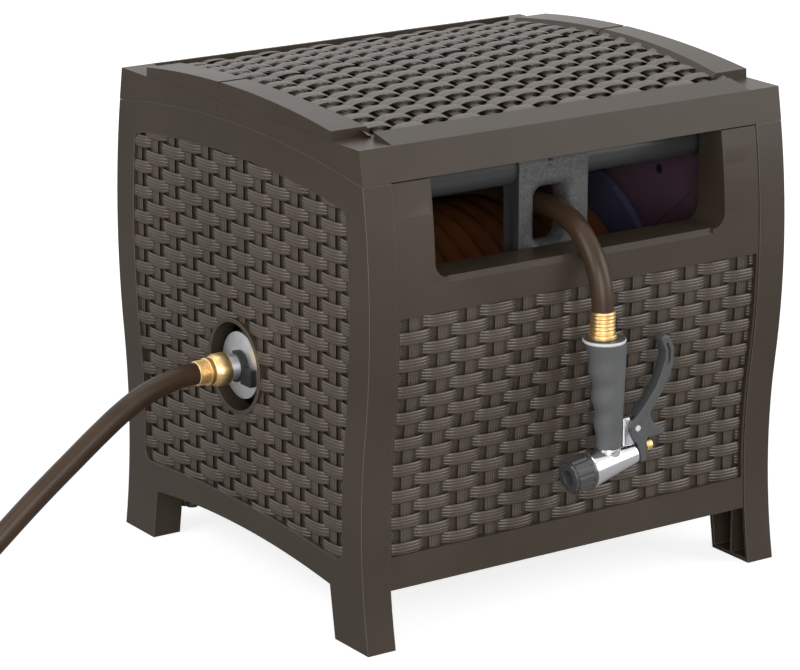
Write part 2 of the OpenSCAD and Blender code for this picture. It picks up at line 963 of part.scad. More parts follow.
flange_t = 3;
rim_h = 7;
flange_boss_r = 20;
boss_end = frame_x - 0.5;
drive_hub_x = drum_half + 21;
axle_left = frame_x1 + 17;
axle_right = gear_x1 + 1;

module drum_axle() {
    color([0.16, 0.16, 0.17])
        ring_x(-axle_left, axle_right, axle_r, axle_bore_r, axis_pt);
}

module drum_hub() {
    color([0.20, 0.20, 0.22])
        ring_x(-drum_half, drum_half, hub_r, hub_r - 3, axis_pt);
}

module flange(boss_x) {
    spokes = 8;
    difference() {
        union() {
            bar_x(drum_half, drum_half + flange_t, flange_r, axis_pt);
            ring_x(drum_half, drum_half + rim_h, flange_r, flange_r - 4, axis_pt);
            bar_x(drum_half, boss_x, flange_boss_r, axis_pt);
            for (i = [0:spokes - 1])
                translate([drum_half, axis_pt[0], axis_pt[1]])
                    rotate([360 * (i + 0.5) / spokes, 0, 0])
                        translate([0, flange_boss_r - 2, -1.5])
                            cube([rim_h - 1, flange_r - flange_boss_r, 3]);
        }
        bar_x(drum_half - 1, boss_x + 1, axle_r, axis_pt);
    }
}

module left_flange() {
    color([0.25, 0.27, 0.33])
        mirror([1, 0, 0])
            flange(drive_hub_x);
}

module right_flange() {
    color([0.55, 0.60, 0.85, 0.5])
        flange(boss_end);
}

module drive_gear() {
    drive_x = drive_hub_x + 3;
    color([0.85, 0.85, 0.82])
        mirror([1, 0, 0]) {
            web_gear(drive_x, drive_x + gear_w, drive_teeth, 0, axis_pt, axle_r, 6);
            ring_x(drive_hub_x, boss_end, flange_boss_r, axle_r, axis_pt);
        }
}

// The elbow takes the water from the axle to the hose on the hub
elbow_x = -60;

module hub_elbow() {
    color("goldenrod")
        translate([elbow_x, axis_y, axis_z])
            difference() {
                union() {
                    rotate([0, 90, 0])
                        cylinder(h = 26, r = axle_r + 4, center = true);
                    cylinder(h = hub_r - 3 - 1, r = 9);
                }
                rotate([0, 90, 0])
                    cylinder(h = 30, r = axle_r, center = true);
                translate([0, 0, axle_r])
                    cylinder(h = hub_r, r = 6);
            }
}

// The pack clears the straight facets between the rings of the outer layer
loop_rings = 24;
core_r = (wind_r - hose_r) * cos(180 / loop_rings) - gap;

module hose_pack_core() {
    color([0.27, 0.18, 0.11])
        ring_x(-drum_half + gap, drum_half - gap, core_r, hub_r + gap, axis_pt);
}

// The outer layer of hose turns, one helix with straight ends
wind_x0 = -wind_pitch * wind_turns / 2;
wind_last = loop_rings * wind_turns;
wind_a0 = 180;
function wind_dir(a) = [0, -sin(a), cos(a)];
wind_mid = [for (i = [0:wind_last])
    let (a = wind_a0 + 360 * i / loop_rings)
        [wind_x0 + wind_pitch * i / loop_rings, axis_y + wind_r * cos(a), axis_z + wind_r * sin(a)]];
wind_path = concat(
    [wind_mid[0] - hose_d * wind_dir(wind_a0)],
    wind_mid,
    [wind_mid[wind_last] + hose_d * wind_dir(wind_a0 + 360 * wind_turns)]
);

module hose_winding() {
    echo(winding_gap = least_gap(wind_mid, hose_r, loop_rings));
    color([0.29, 0.19, 0.12])
        swept(wind_path, hose_r, 6, [1, 0, 0]);
}

// Hose guide

guide_y0 = -tube_y - 22;
guide_y1 = -tube_y + 4;
guide_z0 = 336;
sleeve_gap = 0.3;
sleeve_r = tube_r + 4;
guide_hole_r = 12;

module hole_outline(grow) {
    w = guide_hole_w / 2 + grow - guide_hole_r;
    z0 = guide_hole_z - grow + guide_hole_r;
    z1 = guide_hole_z + guide_hole_h + grow - guide_hole_r;
    for (x = [-w, w])
        for (z = [z0, z1])
            translate([x, z])
                circle(guide_hole_r);
    translate([-w - guide_hole_r, z0])
        square([2 * (w + guide_hole_r), z1 - z0]);
    translate([-w, z0 - guide_hole_r])
        square([2 * w, z1 - z0 + 2 * guide_hole_r]);
}

flare = 6;
flare_steps = 3;

module guide_block() {
    color([0.20, 0.20, 0.21])
        difference() {
            union() {
                along_y(guide_y0, guide_y1)
                    translate([-guide_w / 2, guide_z0])
                        square([guide_w, tube_z - guide_z0]);
                bar_x(-guide_w / 2, guide_w / 2, sleeve_r, tube_pt);
                translate([-4, -tube_y - sleeve_r + 2, tube_z + 3])
                    sphere(r = 4);
            }
            bar_x(-guide_w, guide_w, tube_r + sleeve_gap, tube_pt);
            bar_x(-guide_w, guide_w, rod_r + sleeve_gap, rod_pt);
            along_y(guide_y0 - 1, guide_y1 + 1)
                hole_outline(0);
            for (i = [1:flare_steps])
                along_y(guide_y0 - 1, guide_y0 + flare * (1 - i / (flare_steps + 1)))
                    hole_outline(flare * pow(i / flare_steps, 2));
            translate([0, -tube_y, tube_z - tube_r - 10])
                cylinder(h = 10, r = pawl_r);
        }
}

pawl_r = 3;

module guide_pawl() {
    color("silver")
        translate([0, -tube_y, tube_z - sleeve_r + 0.5])
            cylinder(h = sleeve_r - screw_r - gap - 0.5, r = pawl_r);
}

// Outlet hose: off the top of the pack and through the guide, in the plane x = 0
pack_run = [
    [131.6, 158.6], [139.9, 175.4], [145.9, 193.1], [149.5, 211.4], [150.8, 230], [149.5, 248.6],
    [145.9, 266.9], [139.9, 284.6], [131.6, 301.4], [121.3, 316.9], [110.5, 329.5], [93, 345],
    [71, 358], [46, 368], [16, 377], [-14, 385], [-41.5, 392.5],
    [-61, 396.5], [-80, 398], [-105, 398]
];
// Then over the sill and down, each place in Y measured from the belly
sill_run = [
    [107, 398], [82, 398], [56, 398], [34, 395],
    [13.5, 386.5], [-4, 373], [-17.5, 355.5], [-26, 335], [-29, 316], [-29, 313]
];
outlet_route = concat(pack_run, [for (p = sill_run) [p[0] - belly_half, p[1]]]);
outlet_end = outlet_route[len(outlet_route) - 1];
noz_y = outlet_end[0];

module outlet_hose() {
    color([0.27, 0.19, 0.13])
        swept([for (p = outlet_route) [0, p[0], p[1]]], hose_r, 10, [1, 0, 0]);
}

ferrule_l = 28;

// A crimped brass ferrule: rings along a sleeve that starts at z = 0 and widens to its foot
module ferrule(length, r) {
    rings = 6;
    step = (length - 6) / rings;
    rotate_extrude()
        polygon(concat(
            [[0, 0], [r - 0.5, 0]],
            [for (i = [0:rings - 1]) each [
                [r - 0.5, step * (i + 0.15)],
                [r + 0.6, step * (i + 0.35)],
                [r + 0.6, step * (i + 0.65)],
                [r - 0.5, step * (i + 0.85)]
            ]],
            [[r - 0.5, length - 6], [r + 2, length - 5], [r + 2, length - 1], [r + 1, length], [0, length]]
        ));
}

module outlet_ferrule() {
    color("goldenrod")
        translate([0, noz_y, outlet_end[1]])
            mirror([0, 0, 1])
                ferrule(ferrule_l, hose_r + 1);
}

// Spray nozzle, hanging from the hose's end

collar_z1 = outlet_end[1] - ferrule_l;
collar_h = 3.5;
collar_at = 2.5;

module nozzle_collar() {
    color([0.93, 0.93, 0.93])
        translate([collar_at, noz_y, collar_z1])
            mirror([0, 0, 1])
                rotate_extrude()
                    polygon([
                        [0, 0], [collar_d / 2 - 1, 0], [collar_d / 2, 1],
                        [collar_d / 2, collar_h - 1], [collar_d / 2 - 1, collar_h], [0, collar_h]
                    ]);
}

// Each ring of the grip: height, centre, half width and half depth
grip_top = collar_z1 - collar_h;
grip_foot = 173;
grip_sides = 20;
grip_rings = 20;
groove = 1.8;

function grip_mid(t) = 3.5 + 6.5 * sqrt(t);
function grip_half(t) = collar_d / 2 - 0.5 - 8.5 * pow(t, 0.85);
function grip_groove(t, a) = groove * max(0, -cos(a)) * cos(360 * 4 * t - 40);
function grip_ring(t) = [
    for (k = [0:grip_sides - 1])
        let (a = 360 * k / grip_sides, r = grip_half(t) + grip_groove(t, a) * sin(180 * t))
            [grip_mid(t) + r * cos(a), noz_y + 0.94 * r * sin(a), grip_top + (grip_foot - grip_top) * t]
];

// A solid through rings of equal count, the first ring on top
module lofted(rings) {
    n = len(rings[0]);
    last = len(rings) - 1;
    walls = [
        for (i = [0:last - 1])
            for (k = [0:n - 1])
                let (a = i * n + k, b = i * n + (k + 1) % n)
                    each [[a, b, a + n], [b, b + n, a + n]]
    ];
    first_cap = [for (k = [1:n - 2]) [0, k + 1, k]];
    last_cap = [for (k = [1:n - 2]) [last * n, last * n + k, last * n + k + 1]];
    polyhedron([for (r = rings) each r], concat(walls, first_cap, last_cap));
}

module nozzle_grip() {
    color([0.32, 0.33, 0.34])
        lofted([for (t = steps(0, 1, grip_rings)) grip_ring(t)]);
}

// The head lies across the grip's foot, its tip towards -X and a little lower
head_tilt = 7.8;
head_at = [-39, 150.3];
head_l = 81;
tip_l = 24;
head_r0 = 18;
head_r1 = 10.5;
stem_off = 3.7;
stem_r = 1.8;

module on_head() {
    translate([head_at[0], noz_y, head_at[1]])
        rotate([0, 90 - head_tilt, 0])
            children();
}

pivot = [40.6, 188.4];
pivot_r = 3;

module nozzle_head() {
    color([0.88, 0.88, 0.90])
        difference() {
            union() {
                on_head()
                    rotate_extrude()
                        polygon([
                            [0, tip_l], [head_r0 - 1, tip_l], [head_r0, tip_l + 1],
                            [head_r1 + 0.5, head_l - 2], [head_r1 - 1, head_l], [0, head_l]
                        ]);
                translate([10, noz_y, grip_foot - 14])
                    cylinder(h = 14, r = 12);
                along_y(noz_y - 3.1, noz_y + 3.1)
                    polygon([
                        [25, 163], [37, 166], [45, 182], [46, 190], [43, 194.5], [37, 194.5],
                        [32, 200], [25.2, 200]
                    ]);
            }
            on_head() {
                translate([0, 0, tip_l - 1])
                    cylinder(h = 20, r = 5);
                translate([-stem_off, 0, head_l - 14])
                    cylinder(h = 15, r = stem_r + 0.1);
            }
            along_y(noz_y - 4, noz_y + 4)
                translate(pivot)
                    circle(pivot_r);
        }
}

flutes = 14;
flute_d = 1.2;

module nozzle_tip() {
    color([0.10, 0.10, 0.11])
        on_head()
            difference() {
                union() {
                    cylinder(h = 3, r = head_r0 - 3);
                    translate([0, 0, 3 - eps])
                        linear_extrude(tip_l - 7)
                            polygon([for (i = [0:flutes - 1]) each [
                                polar(head_r0 - flute_d - 0.3, 360 * i / flutes),
                                polar(head_r0 - 0.3, 360 * (i + 0.3) / flutes),
                                polar(head_r0 - 0.3, 360 * (i + 0.7) / flutes)
                            ]]);
                    translate([0, 0, tip_l - 4 - eps])
                        cylinder(h = 4 + eps, r = head_r0);
                }
                translate([0, 0, -1])
                    cylinder(h = 10, r = 7.5);
                translate([0, 0, 8])
                    cylinder(h = 20, r = 5);
            }
}

lever_pts = [
    [72, 279], [77, 276], [80.5, 271], [83, 265], [83.5, 259], [83, 247], [78, 234.5], [70, 221], [62, 211],
    [57.5, 205], [56, 199], [58.5, 193], [64, 187.5], [74, 182], [72.5, 177.5], [60, 177], [53.5, 177],
    [52, 174], [52, 154], [46.5, 152.5], [44.5, 162.5], [41, 172.5], [33.5, 184], [32, 191], [33.5, 196.5],
    [40, 201.5], [48, 209], [56, 219], [63, 228], [69.5, 242], [73.5, 254.5], [73.5, 262], [70, 270],
    [68, 275]
];

module nozzle_lever() {
    color([0.30, 0.31, 0.32])
        difference() {
            along_y(noz_y - lever_half, noz_y + lever_half)
                polygon(lever_pts);
            along_y(noz_y - lever_slot, noz_y + lever_slot)
                union() {
                    translate(pivot)
                        circle(12);
                    polygon([[24, 140], [56, 140], [56, 181], [48, 186], [24, 200]]);
                }
            along_y(noz_y - 20, noz_y + 20)
                translate(pivot)
                    circle(pivot_r + fit);
            along_y(noz_y - 20, noz_y + 20)
                polygon([[76, 270], [79.5, 262], [79.5, 250], [77, 246], [77, 262], [74, 269]]);
        }
}

module nozzle_pivot_pin() {
    color([0.93, 0.93, 0.93])
        along_y(noz_y - lever_half - 0.8, noz_y + lever_half + 0.8)
            translate(pivot)
                circle(pivot_r);
}

nut_from = 93.7;

module nozzle_stem() {
    color("silver")
        on_head()
            translate([-stem_off, 0, head_l - 13])
                cylinder(h = nut_from + 8 - head_l + 13, r = stem_r);
}

module nozzle_adjuster() {
    color("goldenrod")
        on_head()
            translate([-stem_off, 0, nut_from])
                difference() {
                    cylinder(h = 7, r = 6.5, $fn = 12);
                    translate([0, 0, -1])
                        cylinder(h = 9, r = stem_r);
                }
}

// Water motor on the outer face of the left frame, with its pinion, valve lever and pipes

motor_x1 = frame_x1 + 25;
motor_r = 34;
barrel_r = 14;
barrel_x = frame_x1 + barrel_r + 0.5;
barrel_z = pinion_pt[1] - motor_r;
stub_l = 18;
valve_y = [62, 100];
valve_z = [180, 214];
valve_d = 24;
lever_pivot = [81, 222];
trunnion_r = 4;
rewind_l = 190;
ear_t = 3;
ear_in = 6;
valve_mid = frame_x1 + valve_d / 2;

module water_motor() {
    color([0.16, 0.17, 0.19])
        mirror([1, 0, 0])
            difference() {
                union() {
                    bar_x(frame_x1, motor_x1, motor_r, pinion_pt);
                    translate([barrel_x, pinion_pt[0], barrel_z])
                        rotate([-90, 0, 0])
                            cylinder(h = drain_at[1] + 10 - pinion_pt[0], r = barrel_r);
                    translate([frame_x1, valve_y[0], pinion_pt[1]])
                        cube([valve_d, valve_y[1] - valve_y[0], valve_z[1] - pinion_pt[1]]);
                    translate([-drain_at[0], drain_at[1], barrel_z - stub_l])
                        cylinder(h = stub_l, r = drain_r + 1);
                    for (s = [-1, 1])
                        along_x(valve_mid + s * (ear_in + ear_t / 2) - ear_t / 2,
                                valve_mid + s * (ear_in + ear_t / 2) + ear_t / 2) {
                            translate(lever_pivot)
                                circle(8);
                            translate([lever_pivot[0] - 8, valve_z[1] - 4])
                                square([16, lever_pivot[1] - valve_z[1] + 4]);
                        }
                }
                bar_x(frame_x1 - 1, frame_x1 + 12, pinion_shaft_r + fit, pinion_pt);
                bar_x(frame_x1, motor_x1 + 5, trunnion_r + fit, lever_pivot);
            }
}

module motor_pinion() {
    drive_x = drive_hub_x + 3;
    color([0.85, 0.85, 0.82])
        mirror([1, 0, 0]) {
            along_x(drive_x, drive_x + gear_w)
                gear_outline(pinion_teeth, phase_pinion, pinion_pt);
            bar_x(drive_x + gear_w - eps, frame_x1 + 11, pinion_shaft_r, pinion_pt);
        }
}

module rewind_lever() {
    color([0.75, 0.12, 0.10])
        mirror([1, 0, 0]) {
            bar_x(valve_mid - ear_in - ear_t, valve_mid + ear_in + ear_t, trunnion_r, lever_pivot);
            along_x(valve_mid - ear_in + gap, valve_mid + ear_in - gap) {
                translate(lever_pivot)
                    circle(7);
                translate([lever_pivot[0] - 4, lever_pivot[1]])
                    square([8, rewind_l]);
                translate(lever_pivot + [0, rewind_l])
                    circle(9);
            }
        }
}

port_r = 8;
port_z = axis_z - 22;
port_x = frame_x1 + 11;

module supply_pipe() {
    color([0.16, 0.17, 0.19])
        translate([-port_x, axis_y + inlet_skirt_r + 6, port_z])
            rotate([-90, 0, 0])
                difference() {
                    cylinder(h = valve_y[0] - axis_y - inlet_skirt_r - 6, r = port_r - 2);
                    translate([0, 0, -1])
                        cylinder(h = 40, r = port_r - 4);
                }
}

module drain_spout() {
    color([0.10, 0.10, 0.11])
        translate([drain_at[0], drain_at[1], 0])
            difference() {
                union() {
                    translate([0, 0, 28])
                        cylinder(h = barrel_z - stub_l - 28, r = drain_r);
                    translate([0, 0, 32])
                        cylinder(h = 3, r = drain_r + 2);
                    translate([0, -13, 30])
                        cylinder(h = 5, r = 6);
                    translate([-3, -13, 30])
                        cube([6, 8, 5]);
                }
                translate([0, 0, 20])
                    cylinder(h = 200, r = drain_r - 2);
                translate([0, -13, 20])
                    cylinder(h = 20, r = 3.5);
            }
}

// Water inlet on the drum's axis, at the left

inlet_skirt_r = 30;
disc_x0 = side_x - 12;
disc_x1 = side_x - 8;
neck_x1 = side_x + 9;
thread_x1 = neck_x1 + 9.5;
thread_r = 12.9;
seal_x0 = axle_left + gap;
seal_x1 = seal_x0 + 3.4;
socket_x0 = axle_left - 9;

module inlet_fitting() {
    color([0.80, 0.81, 0.82])
        mirror([1, 0, 0]) {
            difference() {
                turned_x(axis_pt)
                    polygon([
                        [axle_bore_r, seal_x1 + gap], [axle_bore_r, thread_x1], [thread_r, thread_x1],
                        [thread_r, neck_x1], [inlet_neck_r, neck_x1], [inlet_neck_r, disc_x1],
                        [inlet_disc_r, disc_x1], [inlet_disc_r, disc_x0], [inlet_skirt_r, disc_x0],
                        [inlet_skirt_r, frame_x1], [inlet_skirt_r - 4, frame_x1],
                        [inlet_skirt_r - 4, disc_x0], [axle_r + 5, disc_x0], [axle_r + 5, socket_x0],
                        [axle_r + gap, socket_x0], [axle_r + gap, seal_x1 + gap]
                    ]);
                translate([port_x, axis_y, port_z])
                    rotate([-90, 0, 0])
                        cylinder(h = 60, r = port_r - 4);
            }
            translate([port_x, axis_y, port_z])
                rotate([-90, 0, 0])
                    difference() {
                        cylinder(h = inlet_skirt_r + 6, r = port_r);
                        translate([0, 0, -1])
                            cylinder(h = inlet_skirt_r + 8, r = port_r - 4);
                        translate([0, 0, -1])
                            cylinder(h = sqrt(pow(inlet_skirt_r - 2, 2) - pow(axis_z - port_z, 2)) + 1, r = port_r + 1);
                    }
        }
}

module inlet_seal() {
    color([0.08, 0.08, 0.08])
        mirror([1, 0, 0])
            ring_x(seal_x0, seal_x1, axle_r, axle_bore_r + 0.5, axis_pt);
}

clip_x0 = disc_x1 + gap;
clip_w = 7.5;

module inlet_clip() {
    color([0.08, 0.08, 0.08])
        mirror([1, 0, 0])
            difference() {
                union() {
                    ring_x(clip_x0, clip_x0 + clip_w, inlet_neck_r + 3, inlet_neck_r + gap, axis_pt);
                    translate([clip_x0, axis_y - inlet_neck_r - 17, axis_z - 15])
                        cube([clip_w, 18, 17]);
                }
                translate([clip_x0 - 1, axis_y + 3, axis_z - 30])
                    cube([10, 30, 60]);
                bar_x(clip_x0 - 1, clip_x0 + 9, inlet_neck_r + gap, axis_pt);
            }
}

// Leader hose and its two fittings

nut_l = 18;
leader_nut_x = neck_x1 + gap;
leader_ferrule_x = leader_nut_x + nut_l;
leader_exit = leader_ferrule_x + 17;

module leader_swivel_nut() {
    color("goldenrod")
        mirror([1, 0, 0])
            turned_x(axis_pt)
                polygon([
                    [thread_r + gap, leader_nut_x], [nut_r - 1, leader_nut_x], [nut_r, leader_nut_x + 1],
                    [nut_r, leader_nut_x + nut_l - 5], [nut_r - 2.5, leader_nut_x + nut_l],
                    [axle_bore_r, leader_nut_x + nut_l], [axle_bore_r, thread_x1 + 1],
                    [thread_r + gap, thread_x1 + 1]
                ]);
}

module leader_ferrule() {
    color("goldenrod")
        translate([-leader_exit, axis_y, axis_z])
            rotate([0, 90, 0])
                ferrule(17, hose_r + 1);
}

// The leader runs out along -X, sinks to the floor and goes into its coil
rest_z = 12.2;
leader_route = [
    [306, 230], [325, 226.5], [350, 219], [375, 206.5], [400, 190], [433, 166], [466, 141.5],
    [491, 122], [515, 102.5], [545, 78], [575, 54.5], [602, 34.5], [628, 19.5], [647, 13.2], [662, 12.2]
];
coil_lead = 22;
coil_start = [-698, axis_y];
leader_end_x = coil_start[0] + coil_lead;

module leader_hose() {
    color([0.27, 0.19, 0.13])
        swept(
            concat(
                [[-leader_exit, axis_y, axis_z]],
                [for (p = leader_route) [-p[0], axis_y, p[1]]],
                [[leader_end_x, axis_y, rest_z]]
            ),
            hose_r, 10, [0, 1, 0]
        );
}

// The coil is a flat spiral inwards; its last part bends tighter and rises, so that the end nut lies on the outer turn
coil_r = 136;
coil_pitch = 23.2;
coil_turn = 400;
tail_r = 88;
tail_turn = 120;
tail_rise = hose_r + nut_r + gap;
tail_l = 74;
coil_mid = coil_start + [0, coil_r];
coil_step = 360 / loop_rings;

function spiral_r(t) = coil_r - coil_pitch * t / 360;
function spiral_pt(t) = coil_mid + spiral_r(t) * [cos(-90 - t), sin(-90 - t)];
tail_mid = coil_mid + (spiral_r(coil_turn) - tail_r) * [cos(-90 - coil_turn), sin(-90 - coil_turn)];
function tail_pt(t) = tail_mid + tail_r * [cos(-90 - coil_turn - t), sin(-90 - coil_turn - t)];
tail_a = -90 - coil_turn - tail_turn;
tail_dir = [sin(tail_a), -cos(tail_a), 0];
tail_z = rest_z + tail_rise;
tail_p0 = [tail_pt(tail_turn)[0], tail_pt(tail_turn)[1], tail_z];
tail_p1 = tail_p0 + tail_l * tail_dir;

function ease(u) = (1 - cos(180 * u)) / 2;

coil_path = concat(
    [[leader_end_x, axis_y, rest_z]],
    [for (t = [0:coil_step:coil_turn]) [spiral_pt(t)[0], spiral_pt(t)[1], rest_z]],
    [for (t = [0:coil_step:tail_turn]) [tail_pt(t)[0], tail_pt(t)[1], rest_z + tail_rise * ease(t / tail_turn)]],
    [tail_p1 - hose_d * tail_dir, tail_p1]
);

module leader_coil() {
    echo(coil_gap = least_gap(coil_path, hose_r, loop_rings));
    color([0.27, 0.19, 0.13])
        swept(coil_path, hose_r, 6, [0, 0, 1]);
}

end_ferrule_l = 22;
end_nut_l = 22;
end_thread_r = 13.1;
// The washer lies in a groove below the nut's thread, which ends at this height
washer_groove = 9;
tailpiece_r = 8.5;

module on_tail(s) {
    translate(tail_p1 + s * tail_dir)
        rotate([0, 0, atan2(tail_dir[1], tail_dir[0])])
            rotate([0, 90, 0])
                children();
}

module leader_end_ferrule() {
    color("goldenrod")
        on_tail(0) {
            ferrule(end_ferrule_l, hose_r + 1);
            translate([0, 0, end_ferrule_l - eps])
                cylinder(h = 7, r = tailpiece_r);
            translate([0, 0, end_ferrule_l + 5])
                cylinder(h = 2, r = tailpiece_r + 3);
        }
}

module leader_end_nut() {
    color("goldenrod")
        on_tail(end_ferrule_l + gap)
            rotate_extrude()
                polygon([
                    [tailpiece_r + fit, 0], [nut_r - 2, 0], [nut_r, 4], [nut_r, end_nut_l - 1],
                    [nut_r - 1, end_nut_l], [end_thread_r, end_nut_l], [end_thread_r, washer_groove],
                    [end_thread_r + 0.6, washer_groove], [end_thread_r + 0.6, 4], [tailpiece_r + fit, 4]
                ]);
}

module end_washer() {
    color([0.08, 0.08, 0.08])
        on_tail(end_ferrule_l + 7)
            difference() {
                cylinder(h = 2, r = end_thread_r - 0.6);
                translate([0, 0, -1])
                    cylinder(h = 4, r = 6);
            }
}

// A strap round the coil's two turns, near the place where the leader runs into it
tie_at = 25;
tie_t = 0.9;
tie_w = 14;
tie_play = 0.4;

module tie_outline(grow) {
    r_in = spiral_r(tie_at + 360) - hose_r - tie_play - grow;
    r_out = spiral_r(tie_at) + hose_r + tie_play + grow;
    corner = hose_r + grow;
    translate([r_in + corner, 0])
        circle(corner);
    translate([r_out - corner, 0])
        circle(corner);
    translate([r_in + corner, -corner])
        square([r_out - r_in - 2 * corner, 2 * corner]);
}

module coil_tie() {
    color([0.10, 0.10, 0.11])
        translate([coil_mid[0], coil_mid[1], rest_z])
            rotate([0, 0, -90 - tie_at])
                along_y(-tie_w / 2, tie_w / 2)
                    difference() {
                        tie_outline(gap + tie_t);
                        tie_outline(gap);
                    }
}

left_side_panel();
right_side_panel();
front_panel();
back_panel();
base_tray();
front_lid();
rear_lid();
hinge_pins();
lid_screws();
panel_screws();
left_reel_frame();
right_reel_frame();
frame_screws();
guide_tube();
guide_rod();
drum_axle();
drum_hub();
left_flange();
right_flange();
hub_elbow();
hose_pack_core();
hose_winding();
drum_gear();
drive_gear();
idler_gear_a();
idler_gear_b();
idler_pins();
traverse_screw();
screw_gear();
gear_cover();
guide_block();
guide_pawl();
outlet_hose();
outlet_ferrule();
nozzle_collar();
nozzle_grip();
nozzle_head();
nozzle_tip();
nozzle_lever();
nozzle_pivot_pin();
nozzle_stem();
nozzle_adjuster();
water_motor();
motor_pinion();
rewind_lever();
supply_pipe();
drain_spout();
inlet_fitting();
inlet_seal();
inlet_clip();
leader_swivel_nut();
leader_ferrule();
leader_hose();
leader_coil();
leader_end_ferrule();
leader_end_nut();
end_washer();
coil_tie();
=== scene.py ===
# Hose reel in a wicker-pattern box. +X is the right-hand side, and the front faces -Y. Sizes are named in
# millimetres; those of the camera, the floor and the lamps are in metres.
import bpy
import json
import math
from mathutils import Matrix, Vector


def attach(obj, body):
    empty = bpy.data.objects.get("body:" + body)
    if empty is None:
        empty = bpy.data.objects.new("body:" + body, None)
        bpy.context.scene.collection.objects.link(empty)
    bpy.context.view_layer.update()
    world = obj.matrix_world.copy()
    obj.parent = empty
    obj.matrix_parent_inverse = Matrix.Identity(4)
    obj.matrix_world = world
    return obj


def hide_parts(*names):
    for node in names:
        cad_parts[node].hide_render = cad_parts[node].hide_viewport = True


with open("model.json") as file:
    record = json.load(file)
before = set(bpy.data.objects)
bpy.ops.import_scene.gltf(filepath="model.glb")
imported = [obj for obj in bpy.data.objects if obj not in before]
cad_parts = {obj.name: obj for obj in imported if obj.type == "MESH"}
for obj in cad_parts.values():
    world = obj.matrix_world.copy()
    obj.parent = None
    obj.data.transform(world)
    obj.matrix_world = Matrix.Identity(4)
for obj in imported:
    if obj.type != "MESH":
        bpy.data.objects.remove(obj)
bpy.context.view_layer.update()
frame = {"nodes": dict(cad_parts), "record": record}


# Small helpers

SECOND_SLOT = 1


def at(*mm):
    """Millimetres to metres."""
    return tuple(v / 1000 for v in mm)


def activate(obj):
    bpy.ops.object.select_all(action="DESELECT")
    obj.select_set(True)
    bpy.context.view_layer.objects.active = obj


def in_edit(obj, *steps):
    """Selects the whole mesh in edit mode and runs the steps."""
    activate(obj)
    bpy.ops.object.mode_set(mode="EDIT")
    bpy.ops.mesh.select_all(action="SELECT")
    for step in steps:
        step()
    bpy.ops.object.mode_set(mode="OBJECT")


def add_modifier(obj, kind, **values):
    activate(obj)
    mod = obj.modifiers.new(kind.title(), kind)
    for key, value in values.items():
        setattr(mod, key, value)
    bpy.ops.object.modifier_apply(modifier=mod.name)


def smooth(obj, angle=35):
    activate(obj)
    bpy.ops.object.shade_smooth_by_angle(angle=math.radians(angle))


def settle(obj, body, material, nodes=()):
    """Puts a finished piece on its body, with its material, for the nodes that it stands for."""
    obj.data.materials.clear()
    obj.data.materials.append(material)
    if nodes:
        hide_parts(*nodes)
    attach(obj, body)
    return obj


def body_of(node):
    for name, nodes in frame["record"]["behaviour"]["bodies"].items():
        if node in nodes:
            return name


def merge_doubles(reach):
    """An edit step: points nearer to each other than a reach become one."""
    return lambda: bpy.ops.mesh.remove_doubles(threshold=reach / 1000)


def join_flat_faces(angle):
    """An edit step: neighbouring faces that differ by less than an angle become one."""
    return lambda: bpy.ops.mesh.dissolve_limited(angle_limit=math.radians(angle))


def copied(node, join_flat=True):
    """A clean copy of a CAD node's mesh: doubles merged, and flat faces joined where asked."""
    source = frame["nodes"][node]
    obj = bpy.data.objects.new(node + "_skin", source.data.copy())
    bpy.context.collection.objects.link(obj)
    while len(obj.data.materials) <= SECOND_SLOT:
        obj.data.materials.append(None)
    in_edit(obj, merge_doubles(0.02))
    if join_flat:
        in_edit(obj, join_flat_faces(0.1))
    return obj


def skin(node):
    return bpy.data.objects[node + "_skin"]


def bevel(obj, width, angle, **values):
    """Rounds the edges that turn by more than an angle."""
    add_modifier(
        obj, "BEVEL", width=width / 1000, segments=2, limit_method="ANGLE",
        angle_limit=math.radians(angle), use_clamp_overlap=True, **values,
    )


def softened(node, width, material, angle=28, smooth_angle=35, edges=None):
    """A CAD node's own shape with its edges rounded, and a painted highlight on them where one is given."""
    obj = copied(node)
    bevel(obj, width, angle, material=SECOND_SLOT)
    smooth(obj, smooth_angle)
    rounded = {face.index for face in obj.data.polygons if face.material_index == SECOND_SLOT}
    settle(obj, body_of(node), material, (node,))
    # The rounded faces get the lighter tone of a painted highlight
    if edges:
        add_modifier(obj, "WEIGHTED_NORMAL", keep_sharp=True)
        paint(obj, edges, lambda face: face.index in rounded)
    return obj


def paint(obj, material, chosen):
    """A second material on the chosen faces."""
    obj.data.materials.append(material)
    for face in obj.data.polygons:
        if chosen(face):
            face.material_index = SECOND_SLOT


# Camera, at the photograph's place

VIEW_SIDE = math.radians(-33.93)
VIEW_UP = math.radians(16.47)
VIEW_FAR = 3.6089
VIEW_AIM = (-0.0467, 0.2233)
VIEW_LENS = 157.68
SENSOR_W = 36

right = Vector((math.cos(VIEW_SIDE), math.sin(VIEW_SIDE), 0))
back = Vector((
    math.sin(VIEW_SIDE) * math.cos(VIEW_UP),
    -math.cos(VIEW_SIDE) * math.cos(VIEW_UP),
    math.sin(VIEW_UP),
))
aim = right * VIEW_AIM[0] + Vector((0, 0, VIEW_AIM[1]))
bpy.ops.object.camera_add(location=aim + back * VIEW_FAR)
camera = bpy.context.object
camera.rotation_euler = back.to_track_quat("Z", "Y").to_euler()
camera.data.sensor_fit = "HORIZONTAL"
camera.data.sensor_width = SENSOR_W
camera.data.lens = VIEW_LENS

scene = bpy.context.scene
scene.camera = camera
scene.view_settings.view_transform = "Standard"


# Shader nodes, and the groups that several materials share

